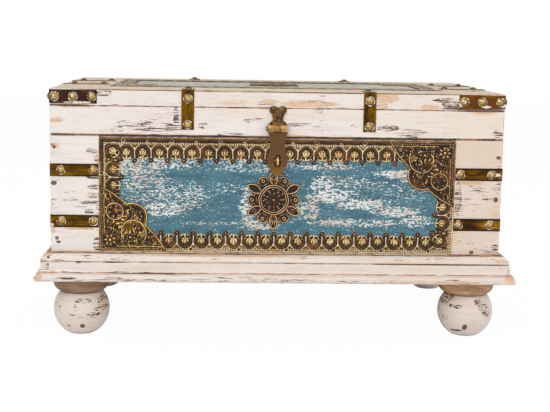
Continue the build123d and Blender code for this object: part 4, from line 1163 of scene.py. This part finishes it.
def makeStrip(name, place, fold, arches, run, plateAt, gridStep, corner=False, nails=(), marks=()):
    # u runs along the strip, v from its outer edge inwards; the arches are given by their u, and plateAt
    # turns u and v into those of the plate that the strip runs under
    look = trimLook
    arches = np.array(arches)
    pitch = arches[1] - arches[0] if len(arches) > 1 else look["stripBody"]
    archV = fold + look["archDepth"]
    eyeV = fold + look["eyeletDepth"]

    def toNearest(u, first, count):
        # how far u lies past the nearest of several evenly spaced places
        return u - first - pitch * np.clip(np.round((u - first) / pitch), 0, count - 1)

    def toArch(u):
        return toNearest(u, arches[0], len(arches))

    def toEyelet(u):
        return toNearest(u, arches[0] + pitch / 2, len(arches) - 1)

    def outline(u, v):
        distance = boxDistance(u, v, 0, 0, run, fold + look["stripBody"])
        distance = np.minimum(distance, np.hypot(toArch(u), v - archV) - look["archRadius"])
        if len(arches) > 1:
            distance = np.minimum(distance, np.hypot(toEyelet(u), v - eyeV) - look["eyeletRadius"])
        if corner:
            square = look["cornerSquare"]
            distance = np.minimum(distance, boxDistance(u, v, 0, 0, square, square))
        return np.maximum(distance, -polygonDistance(*plateAt(u, v), plateCorners))

    def draw(sheet):
        # slow waves in the drawing, as hammered by hand; bare ground inside is filled with small leaves
        u = sheet.u + 0.35 * np.sin(sheet.v * 0.31 + sheet.u * 0.07)
        v = sheet.v + 0.35 * np.sin(sheet.u * 0.23 + 1.3)
        fromEdge = np.minimum(u, v) if corner else v
        along = np.where(u < v, v, u) if corner else u
        bead = fold - 1.0 if fold > 4 else fold + 0.4
        # whitewashed ground between the teeth and the arches
        wash = np.clip((fromEdge - fold) / 0.8, 0, 1) * np.clip((fold + 15 - fromEdge) / 8, 0, 1)
        sheet.tint(wash * 0.95, 0.5, look["wash"])
        # the rolled edge gleams, least along the top
        edgeTone, gleam = (0.3, 0.3) if name.endswith("long_0") else (0.5, 0.65)
        sheet.bead(fromEdge - bead / 2, bead / 2 + 0.3, 1.2, edgeTone)
        shine = np.exp(-((fromEdge - 1.2) / 0.8) ** 2)
        sheet.tint(shine * gleam, 1.0, 0.45)
        # the lower edge is whitewashed most
        if name.endswith("long_1"):
            sheet.wash = np.maximum(sheet.wash, np.clip((fold + 5.6 - fromEdge) / 2, 0, 1) * 0.5)
        teeth = np.clip(0.5 + 0.9 * np.cos(along * 2 * pi / look["toothPitch"]), 0, 1)
        inward = fromEdge - fold
        band = np.clip(2.6 - np.abs(inward - 2.9), 0, 1) * np.clip((inward + 0.3) * 2, 0, 1)
        sheet.tint(band * (1 - teeth), 0.05, 0)
        sheet.lift(band * teeth, 0.8, 1.0, 0.5)
        drawArch(sheet.seenFrom(toArch(u), v - archV))
        if len(arches) > 1:
            drawEyelet(sheet.seenFrom(toEyelet(u), v - eyeV))
        if corner:
            turned = sheet.seenFrom((u - v) / np.sqrt(2), (u + v - 2 * look["cornerArch"]) / np.sqrt(2))
            near = np.clip((17.5 - np.hypot(turned.u, turned.v)) / 0.8, 0, 1)
            sheet.tint(near, 0.12, 0)
            drawArch(turned)
            for side in (1, -1):
                turned.leaf(side * 11, 8, 90 - side * 30, 15, 3.2, 1.2, 0.8)
            turned.ring(0, 19.5, 3.4, 1.4, 1.1, 0.3)
            turned.dot(0, 19.5, 1.4, 1.0, 0.85)
        work = sheet.seenFrom(u, v)
        fillGround(work, v - fold - 8, 5.0, len(arches) + 3, lambda x, y: 90 + 40 * sin(x * 0.4))
        for x in marks:
            sheet.tint(np.clip((3.6 - np.hypot(u - x, v - fold)) / 0.8, 0, 1), 0.9, 0.8)
            sheet.pit(x, fold, 2.0, 0.5)

    top = max(look["cornerSquare"] if corner else 0, eyeV + look["eyeletRadius"])
    return reliefMesh(name, ((0, 0), (run, top)), gridStep, outline, draw, place, nails=nails)


def fillGround(work, depth, spacing, seed, flow):
    # small leaves wherever the sheet is still bare and depth is positive, leaning along flow
    dice = np.random.default_rng(seed)
    for x in np.arange(work.u.min(), work.u.max(), spacing):
        for y in np.arange(work.v.min(), work.v.max(), spacing):
            x0 = x + dice.uniform(-0.35, 0.35) * spacing
            y0 = y + dice.uniform(-0.35, 0.35) * spacing
            lean = flow(x0, y0) + dice.uniform(-25, 25)
            length = spacing * dice.uniform(1.0, 1.5)
            half = spacing * dice.uniform(0.22, 0.32)
            tone = dice.uniform(0.6, 1.05)
            near = np.hypot(work.u - x0, work.v - y0) < spacing * 0.3
            if near.any() and depth[near].min() > 0 and work.height[near].max() < work.ground + 0.12:
                backX = length * cos(np.radians(lean)) / 2
                backY = length * sin(np.radians(lean)) / 2
                work.leaf(x0 - backX, y0 - backY, lean, length, half, 1.1, tone)


def drawPlate(sheet):
    u = sheet.u + 0.4 * np.sin(sheet.v * 0.21 + sheet.u * 0.05)
    v = sheet.v + 0.4 * np.sin(sheet.u * 0.17 + 0.8)
    work = sheet.seenFrom(u, v)
    edge = -polygonDistance(u, v, plateCorners)
    long = np.minimum(u, v) > edge + 0.3
    # two lines follow the long side, one bead and rope the short ones
    work.bead(np.where(long, edge - 2.2, 9.0), 1.3, 1.2, 0.72)
    work.bead(np.where(long, edge - 5.4, 9.0), 0.8, 0.9, 0.5)
    square = np.minimum(u, v)
    work.bead(square - 1.6, 1.7, 1.1, 0.62)
    rope = 0.6 + 0.4 * np.cos((u - v) * 2 * pi / 4.2)
    work.lift(np.sqrt(np.clip(1 - ((square - 5.2) / 1.6) ** 2, 0, 1)) * rope, 0.9, 0.75)
    inner = np.where(square > 4, square, 0)
    work.bead(np.where(np.maximum(u, v) > 34, inner - 9.6, 9.0), 0.9, 1.0, 0.75)
    # flower in the corner
    for index in range(7):
        angle = index * 360 / 7 + 20
        away = np.radians(angle)
        work.leaf(21 + 3.4 * cos(away), 22 + 3.4 * sin(away), angle, 8.2, 2.6, 1.7, 1.0)
    work.dot(21, 22, 2.8, 1.9, 0.9)
    work.dot(10.5, 10.5, 2.0, 1.2, 0.8)
    work.leaf(13.5, 12.5, 250, 6, 1.8, 1.1, 0.8)
    work.leaf(30, 14, 340, 9, 2.2, 1.2, 0.85)
    work.leaf(14, 31, 110, 9, 2.2, 1.2, 0.85)
    # large scroll with leaves and berries inside
    work.spiral(65, 38, 28.5, 20.0, 1.25, 1.6, 0.75, -32, 250)
    work.spiral(65, 38, 25.4, 17.0, 0.8, 1.2, 0.55, -20, 215)
    for x, y, angle, length, half in (
        (58, 19, 262, 9, 2.6), (49, 25, 228, 9, 2.4), (66, 30, 205, 8, 2.4), (76, 27, 245, 8, 2.2),
        (74, 38, 300, 8, 2.4), (84, 33, 170, 7, 2.0), (60, 38, 190, 9, 2.6), (52, 36, 225, 10, 2.4),
    ):
        work.leaf(x, y, angle, length, half, 1.4, 0.95)
    for x, y, radius in ((80, 38, 2.4), (70, 20, 2.0), (88, 40, 1.6), (62, 27, 1.8), (45, 30, 1.8),
                         (72, 46, 1.8)):
        work.dot(x, y, radius, 1.4, 1.0)
    work.ring(85, 34, 3.6, 0.8, 1.1, 0.8)
    # leaf fan from the long side towards the corner
    for angle, length, half, curl in (
        (178, 24, 3.4, 3.0), (200, 22, 3.6, 2.0), (224, 24, 3.8, 0.5), (248, 22, 3.4, -1.5),
        (272, 20, 3.2, -2.5), (300, 18, 3.0, -3.0), (150, 16, 2.8, 2.5),
    ):
        start = np.radians(angle)
        work.leaf(61 + 4 * cos(start), 57 + 4 * sin(start), angle, length, half, 1.6, 0.95, curl=curl)
    work.dot(62, 58, 3.2, 1.7, 0.85)
    work.leaf(66, 62, 20, 13, 2.6, 1.4, 0.85, curl=2)
    work.leaf(64, 65, 55, 12, 2.6, 1.4, 0.85, curl=-2)
    work.leaf(57, 67, 85, 14, 2.6, 1.4, 0.85, curl=2)
    work.leaf(76, 60, 340, 10, 2.2, 1.3, 0.8)
    # small ring with a flower
    work.ring(30.5, 80, 16.6, 1.2, 1.6, 0.7)
    work.ring(30.5, 80, 13.6, 0.7, 1.0, 0.5)
    work.dot(33, 81, 6.2, 2.0, 0.72)
    for index in range(6):
        angle = index * 60 + 10
        away = np.radians(angle)
        work.leaf(30.5 + 6.8 * cos(away), 80 + 6.8 * sin(away), angle + 10, 6.2, 1.9, 1.3, 0.95)
    # sprays at the two ends and along the borders
    for x, y, angle, length, half, curl in (
        (95, 24, 20, 16, 2.2, 2.5), (97, 14, 8, 18, 2.2, -2), (94, 33, 35, 11, 2.0, 2),
        (99, 8, 350, 10, 1.6, 0), (103, 22, 330, 12, 1.8, 2), (90, 46, 60, 9, 2.0, 1.5),
        (36, 99, 70, 12, 2.2, -2.5), (24, 101, 95, 16, 2.2, 2.5), (15, 98, 100, 15, 1.8, 1),
        (14, 70, 95, 12, 2.0, 1.5), (44, 92, 30, 10, 2.2, 2), (50, 78, 20, 11, 2.4, 2),
        (15, 50, 75, 13, 2.4, 1.5), (24, 52, 60, 11, 2.4, -1.5), (33, 50, 70, 10, 2.2, 1),
        (40, 58, 100, 12, 2.4, 1.5), (20, 38, 60, 11, 2.2, 1), (38, 44, 80, 9, 2.2, 0),
        (40, 17, 15, 10, 2.2, 1), (116, 10, 60, 6, 1.4, 0), (52, 12, 350, 10, 1.8, 1),
        (70, 8, 0, 9, 1.6, 0), (84, 9, 10, 9, 1.6, 0), (9, 66, 90, 8, 1.5, 0),
    ):
        work.leaf(x, y, angle, length, half, 1.3, 0.92, curl=curl)
    for x, y in ((47, 50), (29, 60), (13, 88), (47, 70), (28, 44), (92, 38), (108, 10), (60, 9),
                 (12, 112), (52, 70)):
        work.dot(x, y, 1.9, 1.2, 0.95)
    inside = np.minimum(edge - 8, square - 11) * (np.hypot(u - 30.5, v - 80) > 17)

    def flow(x, y):
        # away from the fan, swaying
        return np.degrees(np.arctan2(y - 57, x - 61)) + 55 * sin(0.08 * x + 0.1 * y)

    fillGround(work, inside, 5.0, 5, flow)


rosetteLook = dict(hub=39.0, leafAt=44.0, leafHalf=17.05, leafWide=9.5, lobeAt=38.5, lobeRadius=13.5,
                   nailAt=44.0, ground=1.5)


def leafDistance(u, v, turn):
    # a pointed leaf, the overlap of two circles, on the line at that angle
    half, wide = rosetteLook["leafHalf"], rosetteLook["leafWide"]
    radius = (half ** 2 + wide ** 2) / (2 * wide)
    along = u * cos(turn) + v * sin(turn) - rosetteLook["leafAt"]
    across = v * cos(turn) - u * sin(turn)
    return np.hypot(along, np.abs(across) + radius - wide) - radius


def rosetteOutline(u, v):
    # six pointed leaves and six round lobes round a hub
    look = rosetteLook
    distance = np.hypot(u, v) - look["hub"]
    for index in range(6):
        turn = np.radians(90 + 60 * index)
        lobeU = look["lobeAt"] * cos(turn + pi / 6)
        lobeV = look["lobeAt"] * sin(turn + pi / 6)
        lobe = np.hypot(u - lobeU, v - lobeV) - look["lobeRadius"]
        distance = np.minimum(distance, np.minimum(leafDistance(u, v, turn), lobe))
    return distance


def drawRosette(sheet):
    look = rosetteLook
    work = sheet.seenFrom(sheet.u + 0.3 * np.sin(sheet.v * 0.3), sheet.v + 0.3 * np.sin(sheet.u * 0.26 + 1))
    work.ring(0, 0, 29.4, 1.0, 1.6, 0.9)
    work.ring(0, 0, 25.2, 0.8, 1.5, 0.85)
    angle = np.arctan2(work.v, work.u)
    reach = np.hypot(work.u, work.v)
    notch = np.clip(1 - np.abs(reach - 27.3) / 1.3, 0, 1) * (0.5 + 0.5 * np.cos(angle * 40))
    work.lift(np.clip(notch, 0, 1), 0.8, 0.55)
    # flower in the hub: six petals, smaller ones between, a boss, berries round them
    for index in range(6):
        turn = index * 60 + 30
        away = np.radians(turn)
        work.leaf(2.6 * cos(away), 2.6 * sin(away), turn, 13.0, 3.6, 1.9, 0.78, curl=1.4 * (-1) ** index)
        work.leaf(8 * cos(away + 0.52), 8 * sin(away + 0.52), turn + 30, 11.0, 2.2, 1.5, 0.95)
        work.leaf(15 * cos(away + 0.26), 15 * sin(away + 0.26), turn + 60, 6.5, 1.4, 1.2, 0.8)
    work.dot(0, 0, 3.0, 2.1, 0.8)
    for index in range(12):
        away = index * pi / 6 + 0.07
        work.dot(20.8 * cos(away), 20.8 * sin(away), 1.3, 1.1, 0.95)
    for index in range(6):
        turn = 90 + 60 * index
        away = np.radians(turn)
        x, y = cos(away), sin(away)
        # leaf: an open loop with a hollow, or a fan of lines at top and bottom
        rim = -leafDistance(work.u, work.v, away)
        work.bead(np.where(reach > 31.5, rim - 1.9, 9), 1.0, 1.6, 1.0)
        if index % 3:
            work.tint(np.clip((rim - 3.2) / 0.8, 0, 1) * (reach > 33), 0.30, 0)
            work.leaf(36 * x, 36 * y, turn, 17, 1.2, 0.8, 0.7)
        else:
            for lean in (-34, -12, 12, 34):
                work.leaf(32 * x, 32 * y, turn + lean * 0.7, 22 - abs(lean) * 0.14, 1.4, 1.5, 1.0, vein=0)
        for way in (1, -1):
            work.leaf(31 * x - 8 * way * y, 31 * y + 8 * way * x, turn + 32 * way, 11, 1.5, 1.2, 0.9)
            work.leaf(33 * x - 13 * way * y, 33 * y + 13 * way * x, turn + 12 * way, 10, 1.3, 1.1, 0.8)
        # lobe: a ringed hole, strokes and a pale rim
        away += pi / 6
        x, y = cos(away), sin(away)
        turned = np.degrees(away)
        work.ring(look["lobeAt"] * x, look["lobeAt"] * y, look["lobeRadius"] - 1.4, 0.8, 1.2, 0.9,
                  start=turned - 80, sweep=160)
        work.ring(43.5 * x, 43.5 * y, 2.9, 0.8, 1.3, 1.0)
        work.pit(43.5 * x, 43.5 * y, 2.0, 0.7)
        work.ring(0, 0, 34.6, 0.8, 1.3, 0.8, start=turned - 12, sweep=24)
        for way in (1, -1):
            work.leaf(37 * x - 6 * way * y, 37 * y + 6 * way * x, turned + 20 * way, 9, 1.4, 1.2, 0.9)
            work.dot(38 * x - 9.5 * way * y, 38 * y + 9.5 * way * x, 1.2, 1.1, 0.9)


def frameField(look):
    # the trim round one field; returns the strips by the node that each stands for
    right, up, out, middle = look["place"]
    halfX, halfY = look["half"]
    topFold, leftFold, lowFold, rightFold = look["folds"]
    top, low, left, rest = look["strips"]
    a, b = trimLook["plate"]
    tuck = trimLook["tuck"]
    pitch = trimLook["archPitch"]
    # the long strips run from a free corner to a plate, with one arch more hidden behind the plate
    start = 2 * halfX - a
    first = trimLook["firstArch"]
    span = start - trimLook["plateGap"] - first
    gaps = round(span / pitch)
    longArches = [first + span * index / gaps for index in range(gaps + 2)]
    count = round(start / trimLook["nailPitch"])
    nails = [(start * (index + 0.5) / count, trimLook["nailAt"]) for index in range(count)]
    marks = [start * (index + 1) / count for index in range(count - 1)]
    # the short ones run from behind a plate to the long strip's corner square
    shortRun = 2 * halfY - b - trimLook["cornerSquare"]
    shortArches = np.arange(tuck + shortRun - trimLook["archRadius"] - 0.5, 0, -pitch)[::-1]
    sideNail = [(tuck + shortRun / 2, trimLook["nailAt"])]
    made = {}
    for side, long, short, longFold, shortFold, longNode, shortNode in (
        (1, 0, 2, topFold, leftFold, top, left), (-1, 1, 3, lowFold, rightFold, low, rest),
    ):
        # side 1: from the upper left corner to the right; side -1: the same turned half round
        corner = middle - side * right * halfX + side * up * halfY
        made[longNode] = makeStrip(
            "%s_strip_long_%d" % (look["name"], long), (corner, side * right, -side * up, out), longFold,
            longArches, start + tuck, lambda u, v: (2 * halfX - u, v), look["step"], corner=True, nails=nails,
            marks=marks,
        )
        foot = middle - side * right * halfX - side * up * (halfY - b + tuck)
        made[shortNode] = makeStrip(
            "%s_strip_short_%d" % (look["name"], short), (foot, side * up, side * right, out), shortFold,
            shortArches, shortRun + tuck, lambda u, v: (v, u + b - tuck), look["step"], nails=sideNail,
        )
    return made


def makePlate(name, place, gridStep):
    a, b = trimLook["plate"]
    nails = ((8, 8), (a - 14, 5), (5, b - 14), (a / 2, b / 2))

    def outline(u, v):
        return polygonDistance(u, v, plateCorners)

    return reliefMesh(name, ((0, 0), (a, b)), gridStep, outline, drawPlate, place, nails=nails)


def makeRosette(name, place):
    look = rosetteLook
    reach = look["leafAt"] + look["leafHalf"]
    turns = np.radians((90, 210, 330))
    nails = look["nailAt"] * np.stack([np.cos(turns), np.sin(turns)], axis=1)
    return reliefMesh(name, ((-reach, -reach), (reach, reach)), trimLook["rosetteStep"], rosetteOutline,
                      drawRosette, place, look["ground"], nails)


def joined(name, pieces):
    # several meshes as one piece
    made = bmesh.new()
    for piece in pieces:
        made.from_mesh(piece.data)
    mesh = bpy.data.meshes.new(name)
    made.to_mesh(mesh)
    made.free()
    for piece in pieces:
        bpy.data.objects.remove(piece)
    return newPiece(name, mesh)


def fieldPlace(low, high, flower, ways, face):
    # the ways right, up and out, and the middles of field and flower, both moved to the board's face
    across = [int(np.argmax(np.abs(way))) for way in ways]
    middle = (low + high) / 2
    flower = flower.copy()
    middle[across[2]] = face
    flower[across[2]] = face
    half = ((high - low) / 2)[across[:2]]
    return dict(place=[*np.array(ways, float), middle], half=half, flower=flower)


lidField = boxOf("lid_corner_plates")
flower, lidFlower = (sum(boxOf(name)) / 2 for name in ("rosette", "lid_rosette"))
fields = [
    dict(name="front", body="carcass", step=0.8, plateStep=0.7, folds=(8, 8, 2, 2),
         strips=("trim_top", "trim_bottom", "trim_left", "trim_right"), stripGilt="strips",
         plates={"corner_plate_lower_left": "leftPlate", "corner_plate_upper_right": "rightPlate"},
         plateNames=("front_plate_left", "front_plate_right"), joined=None,
         flowerNode="rosette", flowerName="front_rosette", flowerGilt="rosette",
         **fieldPlace(*field, flower, ((1, 0, 0), (0, 0, 1), (0, -1, 0)), field[1][1])),
    dict(name="lid", body="lid", step=0.9, plateStep=0.9, folds=(2, 2, 2, 2),
         strips=("lid_trim_rear", "lid_trim_front", "lid_trim_left", "lid_trim_right"), stripGilt="lidStrips",
         plates={"lid_corner_plates": "lidPlates"},
         plateNames=("lid_plate_1", "lid_plate_2"), joined="lid_plates",
         flowerNode="lid_rosette", flowerName="lid_flower", flowerGilt="lidFlower",
         **fieldPlace(*lidField, lidFlower, ((1, 0, 0), (0, 1, 0), (0, 0, 1)), lidField[0][2])),
]


def standFor(piece, nodeNames, body, material):
    setMaterial(piece, material)
    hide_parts(*nodeNames)
    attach(piece, body)


def trimField(look):
    for node, piece in frameField(look).items():
        standFor(piece, [node], look["body"], giltMaterials[look["stripGilt"]])
    right, up, out, middle = look["place"]
    halfX, halfY = look["half"]
    plates = []
    for side, name in zip((1, -1), look["plateNames"]):
        corner = middle - side * (right * halfX + up * halfY)
        plates.append(makePlate(name, (corner, side * right, side * up, out), look["plateStep"]))
    if look["joined"]:
        plates = [joined(look["joined"], plates)]
    for piece, (node, gilt) in zip(plates, look["plates"].items()):
        standFor(piece, [node], look["body"], giltMaterials[gilt])
    flower = makeRosette(look["flowerName"], (look["flower"], right, up, out))
    standFor(flower, [look["flowerNode"]], look["body"], giltMaterials[look["flowerGilt"]])
    print(look["name"], "trim worked")


for look in fields:
    trimField(look)


# room, lamps and camera
stageLook = dict(floor=rgb(250, 250, 250), floorSize=9.0, floorRough=0.8, floorGlow=0.975, ambient=0.5,
                 lampAim=0.25)
lamps = dict(
    key=dict(place=(-1.6, -2.6, 2.6), size=2.2, watts=42.0),
    fill=dict(place=(2.4, -2.4, 1.4), size=2.4, watts=20.0),
    top=dict(place=(0.2, 0.3, 3.2), size=2.6, watts=26.0),
)
cameraFit = dict(place=(-0.108, -2.579, 0.6117), yaw=2.56, pitch=8.41, roll=0.98, lens=76.4, sensor=36.0)


def makeFloor():
    half = stageLook["floorSize"]
    mesh = bpy.data.meshes.new("floor")
    corners = [(-half, -half, 0), (half, -half, 0), (half, half, 0), (-half, half, 0)]
    mesh.from_pydata(corners, [], [(0, 1, 2, 3)])
    material, shader, point = newMaterial("floor")
    feed(shader, {"Base Color": stageLook["floor"], "Roughness": stageLook["floorRough"]})
    tree = material.node_tree
    glow = wire("Emission", {}, tree=tree)
    seen = wire("LightPath", {}, out="Is Camera Ray", tree=tree) * stageLook["floorGlow"]
    blend = wire("MixShader", {0: seen, 1: Value(shader.outputs[0]), 2: glow})
    feed(tree.nodes["Material Output"], {"Surface": blend})
    mesh.materials.append(material)
    floor = newPiece("floor", mesh)


def makeWorld():
    world = bpy.data.worlds.new("studio")
    world.use_nodes = True
    bpy.context.scene.world = world
    path = world.node_tree.nodes.new("ShaderNodeLightPath")
    camera, glossy, through = (Value(path.outputs["Is %s Ray" % kind])
                               for kind in ("Camera", "Glossy", "Transmission"))
    seen = larger(larger(camera, glossy), through)
    ambient = stageLook["ambient"]
    strength = seen * (1.0 - ambient) + ambient
    feed(world.node_tree.nodes["Background"], {"Color": (1, 1, 1, 1), "Strength": strength})


def makeLamps():
    for name, lamp in lamps.items():
        data = bpy.data.lights.new(name, "AREA")
        data.size = lamp["size"]
        data.energy = lamp["watts"]
        made = newPiece(name, data)
        made.location = lamp["place"]
        aim = Vector((0, 0, stageLook["lampAim"])) - Vector(lamp["place"])
        made.rotation_euler = aim.to_track_quat("-Z", "Y").to_euler()


def makeCamera():
    # turned right by yaw, tipped down by pitch, then rolled so that the picture turns clockwise
    yaw, pitch, roll = (np.radians(cameraFit[key]) for key in ("yaw", "pitch", "roll"))
    forward = Vector((sin(yaw), cos(yaw), 0))
    right = Vector((cos(yaw), -sin(yaw), 0))
    up = Vector((0, 0, 1))
    ahead = forward * cos(pitch) - up * sin(pitch)
    above = up * cos(pitch) + forward * sin(pitch)
    side = right * cos(roll) + above * sin(roll)
    crown = above * cos(roll) - right * sin(roll)
    data = bpy.data.cameras.new("camera")
    data.lens = cameraFit["lens"]
    data.sensor_width = cameraFit["sensor"]
    camera = newPiece("camera", data)
    turn = Matrix((side, crown, -ahead)).transposed().to_4x4()
    camera.matrix_world = Matrix.Translation(cameraFit["place"]) @ turn
    bpy.context.scene.camera = camera


makeFloor()
makeWorld()
makeLamps()
makeCamera()
bpy.context.scene.view_settings.view_transform = "Standard"
print("room ready")
